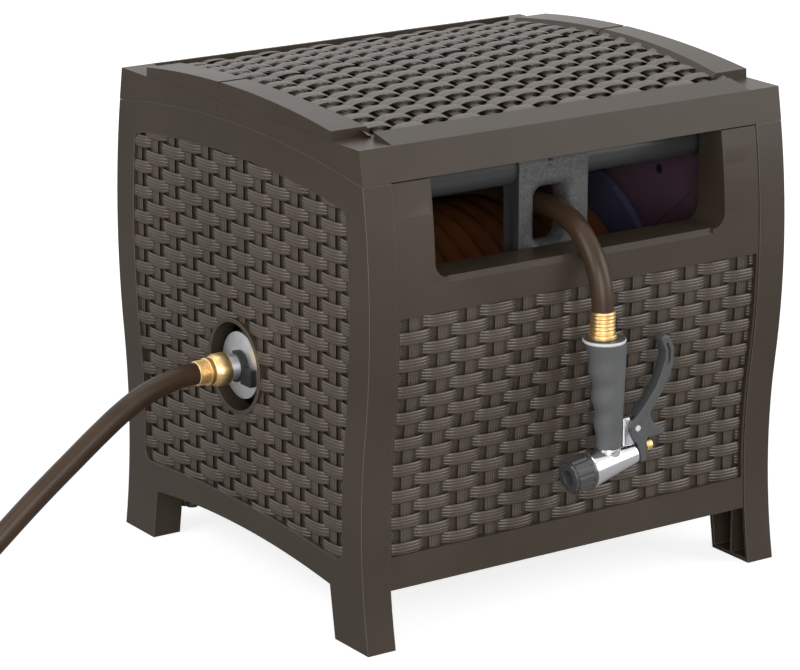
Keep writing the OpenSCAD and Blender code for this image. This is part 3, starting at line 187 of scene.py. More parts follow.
def fill_inputs(tree, node, *ordered, **named):
    """Puts values into a node's inputs, by place or by name, or links other nodes' outputs to them."""
    sockets = list(zip(node.inputs, ordered))
    for key, value in named.items():
        label = key.replace("_", " ").title().replace("Ior", "IOR")
        sockets.append((node.inputs[label], value))
    for socket, value in sockets:
        if isinstance(value, bpy.types.NodeSocket):
            tree.links.new(value, socket)
        else:
            socket.default_value = value
    return node


def new_node(tree, kind, *ordered, **named):
    return fill_inputs(tree, tree.nodes.new("ShaderNode" + kind), *ordered, **named)


def new_group(name, inputs, outputs):
    group = bpy.data.node_groups.new(name, "ShaderNodeTree")
    for label, value in inputs:
        socket = group.interface.new_socket(label, in_out="INPUT", socket_type="NodeSocketFloat")
        socket.default_value = value
    for label in outputs:
        group.interface.new_socket(label, in_out="OUTPUT", socket_type="NodeSocketFloat")
    return group, group.nodes.new("NodeGroupInput"), group.nodes.new("NodeGroupOutput")


def math_node(tree, operation, *values):
    node = new_node(tree, "Math", *values)
    node.operation = operation
    return node.outputs[0]


GRAIN_SCALE = 900
SHADE_SCALE = 9


def grain_group():
    """Fine grain of a moulded or rubbery surface: a height and a slow shade of colour."""
    inputs = [("Grain Scale", GRAIN_SCALE), ("Shade Scale", SHADE_SCALE)]
    group, source, sink = new_group("grain", inputs, ["Height", "Shade"])
    where = new_node(group, "TexCoord").outputs["Object"]
    noises = []
    for scale, roughness in (("Grain Scale", 0.6), ("Shade Scale", 0.55)):
        noise = new_node(
            group, "TexNoise", vector=where, scale=source.outputs[scale], detail=3, roughness=roughness,
        )
        noises.append(noise.outputs["Fac"])
    fill_inputs(group, sink, *noises)
    return group


def rib_group():
    """Parallel rounded ribs along one coordinate."""
    group, source, sink = new_group("ribs", [("Place", 0), ("Pitch", 0.003), ("Start", 0)], ["Height"])
    shifted = math_node(group, "SUBTRACT", source.outputs["Place"], source.outputs["Start"])
    turns = math_node(group, "DIVIDE", shifted, source.outputs["Pitch"])
    wave = math_node(group, "SINE", math_node(group, "MULTIPLY", turns, math.pi))
    rounded = math_node(group, "POWER", math_node(group, "ABSOLUTE", wave), 0.6)
    fill_inputs(group, sink, height=rounded)
    return group


GRAIN = grain_group()
RIBS = rib_group()


def new_material(name, roughness, **shader):
    material = bpy.data.materials.new(name)
    material.use_nodes = True
    tree = material.node_tree
    surface = tree.nodes["Principled BSDF"]
    fill_inputs(tree, surface, roughness=roughness, **shader)
    return material, tree, surface


def place_group(tree, group, **inputs):
    node = tree.nodes.new("ShaderNodeGroup")
    node.node_tree = group
    return fill_inputs(tree, node, **inputs)


def add_colour(tree, surface, grain, dark, light):
    """A colour that drifts between two tones over the surface."""
    ramp = new_node(tree, "ValToRGB", fac=grain.outputs["Shade"])
    for stop, place, tone in zip(ramp.color_ramp.elements, (0.3, 0.7), (dark, light)):
        stop.position = place
        stop.color = (*tone, 1)
    fill_inputs(tree, surface, base_color=ramp.outputs["Color"])


def add_bump(tree, surface, height, depth, **under):
    """A relief of some millimetres, laid over another one where its normal is given."""
    bump = new_node(tree, "Bump", strength=1.0, distance=depth / 1000, height=height, **under)
    fill_inputs(tree, surface, normal=bump.outputs["Normal"])
    return bump.outputs["Normal"]


def add_roughness(tree, surface, grain, low, high):
    """A gloss that drifts together with the colour."""
    span = new_node(tree, "MapRange", value=grain.outputs["Shade"], to_min=low, to_max=high)
    fill_inputs(tree, surface, roughness=span.outputs["Result"])


# Materials

def plain(
    name, dark, light, roughness, grain_scale=GRAIN_SCALE, grain_depth=0.03, shade_scale=SHADE_SCALE,
    spread=0.08, **shader,
):
    """A moulded or rubbery finish: two tones, varying gloss and a fine grain."""
    material, tree, surface = new_material(name, roughness, **shader)
    grain = place_group(tree, GRAIN, grain_scale=grain_scale, shade_scale=shade_scale)
    add_colour(tree, surface, grain, dark, light)
    add_roughness(tree, surface, grain, roughness - spread, roughness + spread)
    add_bump(tree, surface, grain.outputs["Height"], grain_depth)
    return material


def ribbed(name, axis, pitch, start, depth, dark, light, roughness, **shader):
    """A woven strand's finish: fine ribs that run along the strand."""
    material, tree, surface = new_material(name, roughness, **shader)
    grain = place_group(tree, GRAIN, grain_scale=GRAIN_SCALE, shade_scale=SHADE_SCALE)
    add_colour(tree, surface, grain, dark, light)
    add_roughness(tree, surface, grain, roughness - 0.06, roughness + 0.06)
    where = new_node(tree, "TexCoord").outputs["Object"]
    split = new_node(tree, "SeparateXYZ", vector=where)
    ribs = place_group(tree, RIBS, place=split.outputs[axis], pitch=pitch / 1000, start=start / 1000)
    fine = add_bump(tree, surface, grain.outputs["Height"], 0.02)
    add_bump(tree, surface, ribs.outputs["Height"], depth, normal=fine)
    return material


def metal(name, colour, roughness, shade=0.85):
    """A metal whose darker tone is a share of its colour."""
    material, tree, surface = new_material(name, roughness, metallic=1.0)
    grain = place_group(tree, GRAIN, grain_scale=400, shade_scale=30)
    add_colour(tree, surface, grain, tuple(c * shade for c in colour), colour)
    add_roughness(tree, surface, grain, roughness * 0.7, roughness * 1.3)
    add_bump(tree, surface, grain.outputs["Height"], 0.01)
    return material


def clear_plastic(name, colour, roughness, shade=0.85):
    """A see-through plastic whose darker tone is a share of its colour."""
    material, tree, surface = new_material(name, roughness, transmission_weight=0.85, ior=1.3)
    grain = place_group(tree, GRAIN, grain_scale=600, shade_scale=12)
    add_colour(tree, surface, grain, tuple(c * shade for c in colour), colour)
    add_bump(tree, surface, grain.outputs["Height"], 0.02)
    return material


RESIN_DARK = (0.043, 0.031, 0.020)
RESIN_LIGHT = (0.054, 0.040, 0.028)
WEAVE = ((0.068, 0.051, 0.036), (0.086, 0.066, 0.048))
ROW = 13.4
STAKE = 33
LID_ROW = 13.8
LID_STAKE = 32.5
RIBS_PER_ROW = 4
SIDE_RIB_Z = 82.5
FACE_RIB_Z = 88.7
LID_RIB_Y = -195.3
ROW_RIB_H = 0.6
STAKE_RIB_H = 0.8

resin = plain("resin", RESIN_DARK, RESIN_LIGHT, 0.38, 1400, 0.025, specular_ior_level=0.4)
# A lighter tone laid on the panels' rounded edges: a painted highlight
painted_edge_highlight = plain("painted_edge_highlight", (0.125, 0.103, 0.080), (0.160, 0.134, 0.105), 0.30)
# A near-black brown for the holes between the strands: painted shade
painted_shade_floor = plain("painted_shade_floor", (0.028, 0.021, 0.015), (0.036, 0.028, 0.020), 0.6)
row_ribs_side = ribbed("strand_ribs_side", "Z", ROW / RIBS_PER_ROW, SIDE_RIB_Z, ROW_RIB_H, *WEAVE, 0.30)
row_ribs_front = ribbed("strand_ribs_front", "Z", ROW / RIBS_PER_ROW, FACE_RIB_Z, ROW_RIB_H, *WEAVE, 0.30)
row_ribs_y = ribbed("strand_ribs_lid", "Y", LID_ROW / RIBS_PER_ROW, LID_RIB_Y, ROW_RIB_H, *WEAVE, 0.34,
                    specular_ior_level=1.0)
stake_ribs_x = ribbed("stake_ribs_front", "X", 3.0, 0, STAKE_RIB_H, *WEAVE, 0.40)
stake_ribs_y = ribbed("stake_ribs_side", "Y", 3.0, 0, STAKE_RIB_H, *WEAVE, 0.40)
stake_ribs_lid = ribbed("stake_ribs_lid", "X", 3.25, 0, STAKE_RIB_H, *WEAVE, 0.36)
tray_black = plain("tray_black", (0.022, 0.019, 0.016), (0.03, 0.026, 0.022), 0.6)
frame_black = plain("frame_black", (0.010, 0.010, 0.011), (0.015, 0.015, 0.016), 0.5)
tube_black = plain("tube_black", (0.044, 0.045, 0.046), (0.058, 0.059, 0.060), 0.34, 1500, 0.008,
                   specular_ior_level=0.35)
guide_grey = plain("guide_grey", (0.050, 0.050, 0.051), (0.120, 0.120, 0.121), 0.42, 700, 0.6, 420)
hose_brown = plain("hose_brown", (0.040, 0.023, 0.012), (0.056, 0.032, 0.018), 0.34, 700, 0.03, 25,
                   specular_ior_level=0.3)
hose_red = plain("hose_on_drum", (0.085, 0.028, 0.008), (0.120, 0.042, 0.013), 0.36, 700, 0.03, 25)
flange_dark = plain("flange_dark", (0.030, 0.024, 0.034), (0.045, 0.036, 0.050), 0.25)
frame_maroon = plain("frame_maroon", (0.085, 0.050, 0.068), (0.125, 0.072, 0.095), 0.25, 300, 0.05, 14)
gear_white = plain("gear_white", (0.55, 0.55, 0.50), (0.64, 0.64, 0.59), 0.45)
motor_black = plain("motor_black", (0.016, 0.018, 0.021), (0.024, 0.026, 0.030), 0.45)
lever_red = plain("lever_red", (0.42, 0.016, 0.012), (0.52, 0.022, 0.016), 0.35)
black_rubber = plain("black_rubber", (0.008, 0.008, 0.008), (0.012, 0.012, 0.012), 0.6, 900, 0.05)
collar_white = plain("collar_white", (0.66, 0.66, 0.67), (0.74, 0.74, 0.74), 0.22)
grip_grey = plain("grip_grey", (0.092, 0.094, 0.096), (0.114, 0.116, 0.118), 0.6, 1100, 0.08, 20)
lever_grey = plain("lever_grey", (0.075, 0.076, 0.077), (0.094, 0.096, 0.098), 0.34, 1100, 0.03)
nozzle_black = plain("nozzle_black", (0.050, 0.050, 0.051), (0.064, 0.064, 0.065), 0.18, spread=0.04,
                     specular_ior_level=0.8)
steel = metal("steel", (0.58, 0.58, 0.59), 0.30)
brass = metal("brass", (0.95, 0.68, 0.32), 0.36)
chrome = metal("chrome", (0.82, 0.82, 0.84), 0.10, 0.95)
inlet_metal = metal("inlet_metal", (0.72, 0.73, 0.75), 0.40)
flange_clear = clear_plastic("flange_clear", (0.30, 0.29, 0.46), 0.08)


# Hoses. The points repeat the routes that the CAD hoses follow.

HOSE_R = 11
AXIS = (8, 230)
STRAIGHT = 22


def hose_curve(name, points):
    """A smooth round hose through its points, one open spline."""
    data = bpy.data.curves.new(name, "CURVE")
    data.dimensions = "3D"
    data.bevel_depth = HOSE_R / 1000
    data.bevel_resolution = 5
    data.resolution_u = 6
    data.use_fill_caps = True
    spline = data.splines.new("BEZIER")
    spline.bezier_points.add(len(points) - 1)
    for knot, point in zip(spline.bezier_points, points):
        knot.co = at(*point)
        knot.handle_left_type = knot.handle_right_type = "AUTO"
    obj = bpy.data.objects.new(name, data)
    bpy.context.collection.objects.link(obj)
    return obj


OUTLET = [
    (131.6, 158.6), (139.9, 175.4), (145.9, 193.1), (149.5, 211.4), (150.8, 230), (149.5, 248.6),
    (145.9, 266.9), (139.9, 284.6), (131.6, 301.4), (121.3, 316.9), (110.5, 329.5), (93, 345),
    (71, 358), (46, 368), (16, 377), (-14, 385), (-41.5, 392.5),
    (-61, 396.5), (-80, 398), (-105, 398), (-130, 398), (-155, 398), (-181, 398), (-203, 395),
    (-223.5, 386.5), (-241, 373), (-254.5, 355.5), (-263, 335), (-266, 313),
]
FERRULE_RUN = [(-266, 299), (-266, 285), (-266, 271)]
outlet_points = [(0, y, z) for y, z in OUTLET + FERRULE_RUN]
outlet_hose = hose_curve("outlet_hose_run", outlet_points)
settle(outlet_hose, "guide", hose_brown, ("outlet_hose",))

LEADER = [
    (294.3, 230), (306, 230), (325, 226.5), (350, 219), (375, 206.5), (400, 190), (433, 166), (466, 141.5),
    (491, 122), (515, 102.5), (545, 78), (575, 54.5), (602, 34.5), (628, 19.5), (647, 13.2), (662, 12.2),
]
REST_Z = 12.2
COIL_START = (-698, AXIS[0])
COIL_R = 136
COIL_PITCH = 23.2
COIL_TURN = 400
TAIL_R = 88
TAIL_TURN = 120
TAIL_RISE = 27.8
TAIL_L = 74
COIL_STEP = 15
coil_mid = (COIL_START[0], COIL_START[1] + COIL_R)


def polar(radius, degrees):
    a = math.radians(degrees)
    return radius * math.cos(a), radius * math.sin(a)


def coil_points():
    """The flat spiral, then the tighter bend that rises a little, then the straight end."""
    points = []
    for turn in range(0, COIL_TURN + 1, COIL_STEP):
        dx, dy = polar(COIL_R - COIL_PITCH * turn / 360, -90 - turn)
        points.append((coil_mid[0] + dx, coil_mid[1] + dy, REST_Z))
    last_r = COIL_R - COIL_PITCH * COIL_TURN / 360
    dx, dy = polar(last_r - TAIL_R, -90 - COIL_TURN)
    mid = (coil_mid[0] + dx, coil_mid[1] + dy)
    for turn in range(0, TAIL_TURN + 1, COIL_STEP):
        dx, dy = polar(TAIL_R, -90 - COIL_TURN - turn)
        rise = TAIL_RISE * (1 - math.cos(math.pi * turn / TAIL_TURN)) / 2
        points.append((mid[0] + dx, mid[1] + dy, REST_Z + rise))
    way = polar(1, -180 - COIL_TURN - TAIL_TURN)
    x, y, z = points[-1]
    for reach in (TAIL_L - STRAIGHT, TAIL_L):
        points.append((x + way[0] * reach, y + way[1] * reach, z))
    return points


leader_points = [
    *[(-x, AXIS[0], z) for x, z in LEADER],
    (COIL_START[0] + STRAIGHT, AXIS[0], REST_Z),
    *coil_points(),
]
leader_hose = hose_curve("leader_hose_run", leader_points)
settle(leader_hose, "housing", hose_brown, ("leader_hose", "leader_coil"))

WIND_R = 120
WIND_PITCH = 22.8
WIND_TURNS = 13
WIND_STEPS = 24


def winding_points():
    """The outer layer of turns, with a short straight end at either side."""
    points = []
    x0 = -WIND_PITCH * WIND_TURNS / 2
    for i in range(WIND_STEPS * WIND_TURNS + 1):
        dy, dz = polar(WIND_R, 180 + 360 * i / WIND_STEPS)
        points.append((x0 + WIND_PITCH * i / WIND_STEPS, AXIS[0] + dy, AXIS[1] + dz))
    first, last = points[0], points[-1]
    return [(*first[:2], first[2] + STRAIGHT), *points, (*last[:2], last[2] - STRAIGHT)]


winding = hose_curve("hose_turns", winding_points())
winding.data.resolution_u = 2
winding.data.bevel_resolution = 3
activate(winding)
bpy.ops.object.convert(target="MESH")
smooth(winding, angle=60)
settle(winding, "drum", hose_red, ("hose_winding",))


# Box panels and lids, with rounded edges that carry a painted highlight

PANEL_EDGE = 1.3

for node in ("left_side_panel", "right_side_panel", "front_panel", "back_panel", "front_lid", "rear_lid"):
    softened(node, PANEL_EDGE, resin, edges=painted_edge_highlight)


# Wicker. A strand bows over every second stake and dives under the others; the next row is the other way.

BOW_H = 7.0
BOW_HALF = 22.5
BOW_POWER = 2.8
STAKE_W = 12
STAKE_H = 3.6
STAKE_ROUND = 0.4
STAKES = 13
EDGE_DROP = 1.3
ROW_GAP = 0.3
UNDER = -0.6
GROUND = 0.15
WEAVE_FOOT = -8
CUTS_PER_STAKE = 12
CUTS_ACROSS = 6
STAKE_CUT = 8
GROUND_CUTS = (44, 36)
TINY_EDGE = 0.04


def edge_y(z):
    """Half depth of the box at a height."""
    far, waist, r_out, r_in, middle = 237, 222, 800, 650, 330
    drop = math.sqrt((r_out + r_in) ** 2 - (r_out + r_in - (far - waist)) ** 2)
    turn = middle - drop * r_out / (r_out + r_in)
    if z > turn:
        return far - r_out + math.sqrt(r_out ** 2 - (z - middle) ** 2)
    return waist + r_in - math.sqrt(r_in ** 2 - (z - middle + drop) ** 2)


def clamp(value, low, high):
    return min(max(value, low), high)


def strand_height(along, pitch):
    """Height of a strand at a distance from the middle of one of its bows."""
    off = abs((along + pitch) % (2 * pitch) - pitch)
    share = off / BOW_HALF
    if share >= 1:
        return UNDER
    return BOW_H * (1 - share ** BOW_POWER)


def strand_strip(name, length, middle, pitch, row):
    """One row of strand, lying in X and Y with its height in Z."""
    cuts = int(length / pitch * CUTS_PER_STAKE)
    bpy.ops.mesh.primitive_grid_add(x_subdivisions=cuts, y_subdivisions=CUTS_ACROSS, size=1)
    strip = bpy.context.object
    strip.name = name
    for v in strip.data.vertices:
        along = v.co.x * length
        across = 2 * v.co.y
        height = strand_height(along - middle, pitch) - EDGE_DROP * abs(across) ** 3
        v.co = (along, across * (row - ROW_GAP) / 2, max(height, UNDER))
    return strip


def joined(pieces):
    bpy.ops.object.select_all(action="DESELECT")
    for piece in pieces:
        piece.select_set(True)
    bpy.context.view_layer.objects.active = pieces[0]
    bpy.ops.object.join()
    return bpy.context.object


def weave_rows(name, length, count, middle, pitch, row):
    """Rows of strand from y = 0 upwards, each one stake off its neighbour."""
    first = strand_strip(name, length, middle, pitch, row)
    second = strand_strip(name + "_b", length, middle + pitch, pitch, row)
    for v in second.data.vertices:
        v.co.y += row
    pair = joined([first, second])
    add_modifier(
        pair, "ARRAY", count=(count + 1) // 2, use_relative_offset=False,
        use_constant_offset=True, constant_offset_displace=(0, 2 * row, 0),
    )
    return pair


def stake_bars(name, low, high, shift, pitch):
    """Stakes along Y from low to high, the middle one at shift."""
    length = high - low
    cuts = max(2, int(length / STAKE_CUT))
    bpy.ops.mesh.primitive_grid_add(x_subdivisions=CUTS_ACROSS, y_subdivisions=cuts, size=1)
    bar = bpy.context.object
    bar.name = name
    for v in bar.data.vertices:
        across = 2 * v.co.x
        height = STAKE_H * (1 - STAKE_ROUND * across * across)
        v.co = (across * STAKE_W / 2, low + (v.co.y + 0.5) * length, height)
    add_modifier(
        bar, "ARRAY", count=STAKES, use_relative_offset=False,
        use_constant_offset=True, constant_offset_displace=(pitch, 0, 0),
    )
    first = shift - pitch * (STAKES - 1) / 2
    for v in bar.data.vertices:
        v.co.x += first
    return bar


def ground_sheet(name, length, low, high):
    """A sheet just above the field's floor that shows through the gaps of the weave; on the panels it
    carries painted shade.
    """
    cuts_x, cuts_y = GROUND_CUTS
    bpy.ops.mesh.primitive_grid_add(x_subdivisions=cuts_x, y_subdivisions=cuts_y, size=1)
    sheet = bpy.context.object
    sheet.name = name
    for v in sheet.data.vertices:
        v.co = (v.co.x * length, low + (v.co.y + 0.5) * (high - low), GROUND)
    return sheet


def turn_faces(obj, towards):
    """Faces of an open sheet point outwards from the box."""
    total = Vector((0, 0, 0))
    for face in obj.data.polygons:
        total += face.normal * face.area
    if total.dot(Vector(towards)) < 0:
        in_edit(obj, lambda: bpy.ops.mesh.flip_normals())


def laid(obj, place, towards, body, material):
    """Moves each point of a flat weave, in millimetres, to its place on the box, in metres."""
    for v in obj.data.vertices:
        v.co = at(*place(*v.co))
    in_edit(
        obj,
        lambda: bpy.ops.mesh.dissolve_degenerate(threshold=TINY_EDGE / 1000),
        lambda: bpy.ops.mesh.normals_make_consistent(inside=False),
    )
    turn_faces(obj, towards)
    smooth(obj, angle=50)
    return settle(obj, body, material)


SIDE_FLOOR = 242.5
SIDE_ROW_Z = 89.2
SIDE_L = 420
SIDE_H = 360
SIDE_ROWS = 28
STILE_W = 34
HEAD_W = 33
FIELD_Z = 84
FIELD_R = 10
LEG_IN = 166
ARCH_RISE = 10.6
ARCH_SHARE = 0.7
SEAM_Z = 461
SEAM_RISE = 18.5
TUCK = 0.3


def arc_height(y, half, rise):
    """Height at a place under an arch that spans half to either side and rises in the middle."""
    radius = (half * half + rise * rise) / (2 * rise)
    y = min(abs(y), half)
    return math.sqrt(radius ** 2 - y * y) - radius + rise


def in_side_field(y, z):
    """The place itself, or the nearest one on the outline of a side panel's wicker field."""
    half = edge_y(z) - STILE_W + TUCK
    foot = FIELD_Z + ARCH_SHARE * arc_height(y, LEG_IN, ARCH_RISE) - TUCK
    top = SEAM_Z + arc_height(y, edge_y(SEAM_Z), SEAM_RISE) - HEAD_W + TUCK
    y = clamp(y, -half, half)
    z = clamp(z, foot, top)
    corner_y = half - FIELD_R
    corner_z = clamp(z, foot + FIELD_R, top - FIELD_R)
    off_y, off_z = abs(y) - corner_y, z - corner_z
    if off_y > 0 and math.hypot(off_y, off_z) > FIELD_R:
        share = FIELD_R / math.hypot(off_y, off_z)
        y = math.copysign(corner_y + off_y * share, y)
        z = corner_z + off_z * share
    return y, z


HOLE_R = 47


def open_round(obj):
    """Opens a sheet round the inlet's hole; its edge there follows the circle."""
    axis_y, axis_z, hole_r = at(*AXIS, HOLE_R)
    points = obj.data.vertices
    inside = {v.index for v in points if math.hypot(v.co.y - axis_y, v.co.z - axis_z) < hole_r}
    bpy.context.tool_settings.mesh_select_mode = (False, False, True)
    for face in obj.data.polygons:
        face.select = inside.issuperset(face.vertices)
    activate(obj)
    bpy.ops.object.mode_set(mode="EDIT")
    bpy.ops.mesh.delete(type="FACE")
    bpy.ops.object.mode_set(mode="OBJECT")
    bpy.context.tool_settings.mesh_select_mode = (True, False, False)
    for v in obj.data.vertices:
        dy, dz = v.co.y - axis_y, v.co.z - axis_z
        if math.hypot(dy, dz) < hole_r:
            grow = hole_r / math.hypot(dy, dz)
            v.co.y = axis_y + dy * grow
            v.co.z = axis_z + dz * grow


def side_weave(sign):
    """The wicker of one side panel; that of the left one is opened for the inlet."""
    def place(x, y, h):
        yy, zz = in_side_field(x, SIDE_ROW_Z + y)
        return sign * (SIDE_FLOOR + h), -sign * yy, zz
    out = (sign, 0, 0)
    rows = weave_rows("strands_side", SIDE_L, SIDE_ROWS, STAKE, STAKE, ROW)
    laid(rows, place, out, "housing", row_ribs_side)
    bars = stake_bars("stakes_side", WEAVE_FOOT, SIDE_H, 0, STAKE)
    laid(bars, place, out, "housing", stake_ribs_y)
    # The sheet under the gaps is painted dark: painted shade in the holes of the weave
    ground = ground_sheet("ground_side", SIDE_L, WEAVE_FOOT, SIDE_H)
    laid(ground, place, out, "housing", painted_shade_floor)
    if sign < 0:
        for obj in (rows, bars, ground):
            open_round(obj)


FACE_FLOOR = 9
FACE_ROW_Z = 95.4
FACE_STAKE_X = 3.5
FACE_HALF = 215
FACE_FOOT = 90.5
FACE_L = 440
FRONT_TOP = 331
BACK_TOP = 434
OVERRUN = 2


def face_weave(sign, top):
    """The wicker of the front or back panel, up to a height."""
    def place(x, y, h):
        z = clamp(FACE_ROW_Z + y, FACE_FOOT - TUCK, top + TUCK)
        x = clamp(x, -FACE_HALF - TUCK, FACE_HALF + TUCK)
        return x, sign * (edge_y(z) - FACE_FLOOR + h), z
    out = (0, sign, 0)
    high = top - FACE_ROW_Z + OVERRUN
    count = int((top - FACE_ROW_Z + ROW / 2) / ROW) + 1
    rows = weave_rows("strands_front", FACE_L, count, FACE_STAKE_X, STAKE, ROW)
    laid(rows, place, out, "housing", row_ribs_front)
    bars = stake_bars("stakes_front", WEAVE_FOOT, high, FACE_STAKE_X, STAKE)
    laid(bars, place, out, "housing", stake_ribs_x)
    # The sheet under the gaps is painted dark: painted shade in the holes of the weave
    ground = ground_sheet("ground_front", FACE_L, WEAVE_FOOT, high)
    laid(ground, place, out, "housing", painted_shade_floor)


CROWN_Z = 514.6
CROWN_R = 1367
LID_RECESS = 9
LID_L = 440
LID_ROW_Y = -188.4
LID_HALF = 211.4
BAND_SLOPE = 0.875
RAIL_IN = 189
SPLIT_Y = 32
SPLIT_GAP = 0.4
SPLIT_ROW = 16
LAST_ROW = 27


def crown(y):
    """Height of the lids' bands at a place along Y."""
    return CROWN_Z - CROWN_R + math.sqrt(CROWN_R ** 2 - y * y)


def lid_weave(first, last, y0, y1, body):
    """Rows first to last, counted from the front rail, between two places along Y."""
    def place(x, y, h):
        yy = clamp(LID_ROW_Y + y, y0, y1)
        half = LID_HALF + BAND_SLOPE * h
        return clamp(x, -half, half), yy, crown(yy) - LID_RECESS + h
    up = (0, 0, 1)
    low, high = y0 - LID_ROW_Y, y1 - LID_ROW_Y
    middle = first % 2 * LID_STAKE
    rows = weave_rows("strands_" + body, LID_L, last - first + 1, middle, LID_STAKE, LID_ROW)
    for v in rows.data.vertices:
        v.co.y += first * LID_ROW
    laid(rows, place, up, body, row_ribs_y)
    bars = stake_bars("stakes_" + body, low, high, 0, LID_STAKE)
    laid(bars, place, up, body, stake_ribs_lid)
    ground = ground_sheet("ground_" + body, LID_L, low, high)
    laid(ground, place, up, body, resin)


side_weave(-1)
side_weave(1)
face_weave(-1, FRONT_TOP)
face_weave(1, BACK_TOP)
lid_weave(0, SPLIT_ROW, -RAIL_IN - TUCK, SPLIT_Y - SPLIT_GAP, "front_lid")
lid_weave(SPLIT_ROW, LAST_ROW, SPLIT_Y + SPLIT_GAP, RAIL_IN + TUCK, "housing")


# The rest of the pieces that show

GUIDE_Y = -184
GUIDE_SIDE_X = 31
HOLE_Z = 390
HOLE_HALF = (18.5, 28)
CORNER_R = 12
CLOSE = 0.1
SIDEWAYS = 0.95
UPWARDS = 0.9

# Each step round the guide's hole, by its growth and depth, and the growth and depth that it gets
FLARE = {
    (6, 0): (11, 0), (6, 1.5): (7.8, 0.8), (2.67, 1.5): (4.9, 2.6), (2.67, 3): (2.9, 4.8),
    (0.67, 3): (1.3, 7.6), (0.67, 4.5): (0.4, 10.8), (0, 4.5): (0, 14),
}


def on_ring(x, z, grow):
    """True on the hole's outline, grown by some millimetres."""
    qx = abs(x) - HOLE_HALF[0] - grow + CORNER_R
    qz = abs(z - HOLE_Z) - HOLE_HALF[1] - grow + CORNER_R
    return abs(math.hypot(max(qx, 0), max(qz, 0)) - CORNER_R) < CLOSE


def guide_with_flare():
    """The guide, with the steps round its hole drawn out to one smooth funnel and its sides in black."""
    obj = copied("guide_block", join_flat=False)
    for v in obj.data.vertices:
        x, z, depth = v.co.x * 1000, v.co.z * 1000, v.co.y * 1000 - GUIDE_Y
        for (grow, step), (new_grow, new_step) in FLARE.items():
            if abs(depth - step) < CLOSE and on_ring(x, z, grow):
                x += math.copysign(new_grow - grow, x)
                z += math.copysign(new_grow - grow, z - HOLE_Z)
                v.co = at(x, GUIDE_Y + new_step, z)
                break
    in_edit(obj, merge_doubles(0.05), join_flat_faces(0.6))
    bevel(obj, width=1.0, angle=50)
    smooth(obj, angle=50)
    settle(obj, "guide", guide_grey, ("guide_block",))
    side_x = GUIDE_SIDE_X / 1000
    paint(obj, tube_black, lambda face: abs(face.normal.x) > SIDEWAYS and abs(face.center.x) > side_x)


guide_with_flare()

# The width of each piece's rounded edges, and its finish
EDGES = {
    "guide_tube": (0.5, tube_black),
    "outlet_ferrule": (0.4, brass),
    "nozzle_collar": (0.6, collar_white),
    "nozzle_lever": (1.2, lever_grey),
    "nozzle_head": (0.6, chrome),
    "nozzle_tip": (0.8, nozzle_black),
    "nozzle_pivot_pin": (0.3, collar_white),
    "nozzle_stem": (0.2, steel),
    "nozzle_adjuster": (0.4, brass),
    "inlet_fitting": (0.5, inlet_metal),
    "inlet_clip": (0.5, black_rubber),
    "leader_swivel_nut": (0.5, brass),
    "leader_ferrule": (0.4, brass),
    "leader_end_ferrule": (0.4, brass),
    "leader_end_nut": (0.5, brass),
    "drain_spout": (0.4, motor_black),
    "base_tray": (0.6, tray_black),
    "coil_tie": (0.1, black_rubber),
}
for node, (width, finish) in EDGES.items():
    softened(node, width, finish)
paint(skin("nozzle_collar"), lever_grey, lambda face: face.normal.z > UPWARDS)
grip = softened("nozzle_grip", 0.8, grip_grey, angle=50, smooth_angle=60)


# CAD nodes whose own shape is right get a finish

FINISHES = {
    frame_black: ("left_reel_frame", "gear_cover"),
    frame_maroon: ("right_reel_frame",),
    tube_black: ("drum_axle", "drum_hub"),
    flange_dark: ("left_flange",),
    flange_clear: ("right_flange",),
    gear_white: (
        "drum_gear", "drive_gear", "idler_gear_a", "idler_gear_b", "screw_gear", "motor_pinion",
        "traverse_screw",
    ),
    steel: (
        "hinge_pins", "lid_screws", "panel_screws", "frame_screws", "guide_rod", "idler_pins", "guide_pawl",
    ),
    brass: ("hub_elbow",),
    hose_red: ("hose_pack_core",),
    motor_black: ("water_motor", "supply_pipe"),
    lever_red: ("rewind_lever",),
    black_rubber: ("inlet_seal", "end_washer"),
}
for finish, nodes in FINISHES.items():
    for node in nodes:
        obj = frame["nodes"][node]
        obj.data.materials.clear()
        obj.data.materials.append(finish)


# Floor, backdrop and light

def seen_directly(tree, in_reflections):
    """One for camera and transmission rays, and for reflections where asked; they see plain white."""
    path = tree.nodes.new("ShaderNodeLightPath")
    seen = math_node(tree, "MAXIMUM", path.outputs["Is Camera Ray"], path.outputs["Is Transmission Ray"])
    if in_reflections:
        seen = math_node(tree, "MAXIMUM", seen, path.outputs["Is Glossy Ray"])
    return seen


WHITE = (1, 1, 1, 1)
AMBIENT = 0.18

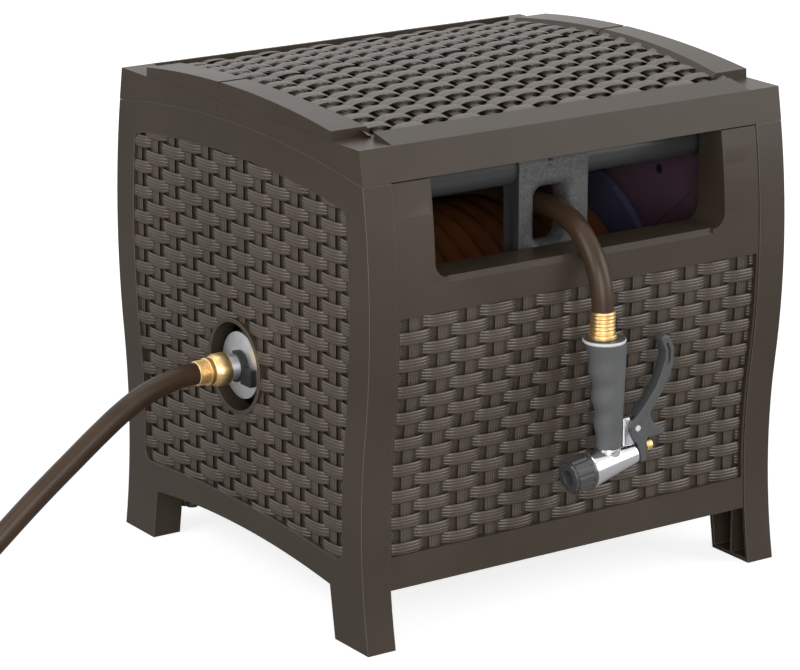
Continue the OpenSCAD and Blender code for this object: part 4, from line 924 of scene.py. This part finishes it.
world = bpy.data.worlds.new("studio")
scene.world = world
world.use_nodes = True
world_tree = world.node_tree
ambient = fill_inputs(world_tree, world_tree.nodes["Background"], color=WHITE, strength=AMBIENT)
shown = new_node(world_tree, "Background", color=WHITE, strength=1.0)
backdrop = new_node(
    world_tree, "MixShader", seen_directly(world_tree, True),
    ambient.outputs["Background"], shown.outputs["Background"],
)
fill_inputs(world_tree, world_tree.nodes["World Output"], surface=backdrop.outputs["Shader"])

FLOOR_W = 40
FLOOR_Z = -0.0005
FLOOR_TONE = 0.6
GLOW_NEAR, GLOW_FAR = 0.8, 1.0
NEAR, FAR = 0.6, 1.6

# Seen directly, the floor glows more the further it is from the object, so it fades into the backdrop
bpy.ops.mesh.primitive_plane_add(size=FLOOR_W, location=(0, 0, FLOOR_Z))
floor = bpy.context.object
floor.name = "floor"
floor_paint, floor_tree, floor_surface = new_material(
    "floor_paint", 0.9, base_color=(FLOOR_TONE, FLOOR_TONE, FLOOR_TONE, 1), specular_ior_level=0.0,
)
floor_place = new_node(floor_tree, "TexCoord").outputs["Object"]
floor_far = new_node(floor_tree, "VectorMath", floor_place)
floor_far.operation = "LENGTH"
floor_span = new_node(
    floor_tree, "MapRange", value=floor_far.outputs["Value"],
    from_min=NEAR, from_max=FAR, to_min=GLOW_NEAR, to_max=GLOW_FAR,
)
floor_glow = new_node(floor_tree, "Emission", color=WHITE, strength=floor_span.outputs["Result"])
lifted = new_node(floor_tree, "AddShader", floor_surface.outputs["BSDF"], floor_glow.outputs["Emission"])
floor_look = new_node(
    floor_tree, "MixShader", seen_directly(floor_tree, False),
    floor_surface.outputs["BSDF"], lifted.outputs["Shader"],
)
fill_inputs(floor_tree, floor_tree.nodes["Material Output"], surface=floor_look.outputs["Shader"])
floor.data.materials.append(floor_paint)


LAMP_AIM = Vector((0, 0, 0.25))


def studio_lamp(name, place, size, power):
    bpy.ops.object.light_add(type="AREA", location=place)
    lamp = bpy.context.object
    lamp.name = name
    lamp.data.size = size
    lamp.data.energy = power
    lamp.rotation_euler = (Vector(place) - LAMP_AIM).to_track_quat("Z", "Y").to_euler()


studio_lamp("left_lamp", (-3.0, -0.4, 2.0), 2.0, 46)
studio_lamp("front_left_lamp", (-1.5, -2.8, 1.0), 1.8, 48)
studio_lamp("front_right_lamp", (2.6, -2.2, 1.6), 2.2, 46)
studio_lamp("top_lamp", (0.2, 0.6, 3.2), 2.5, 18)
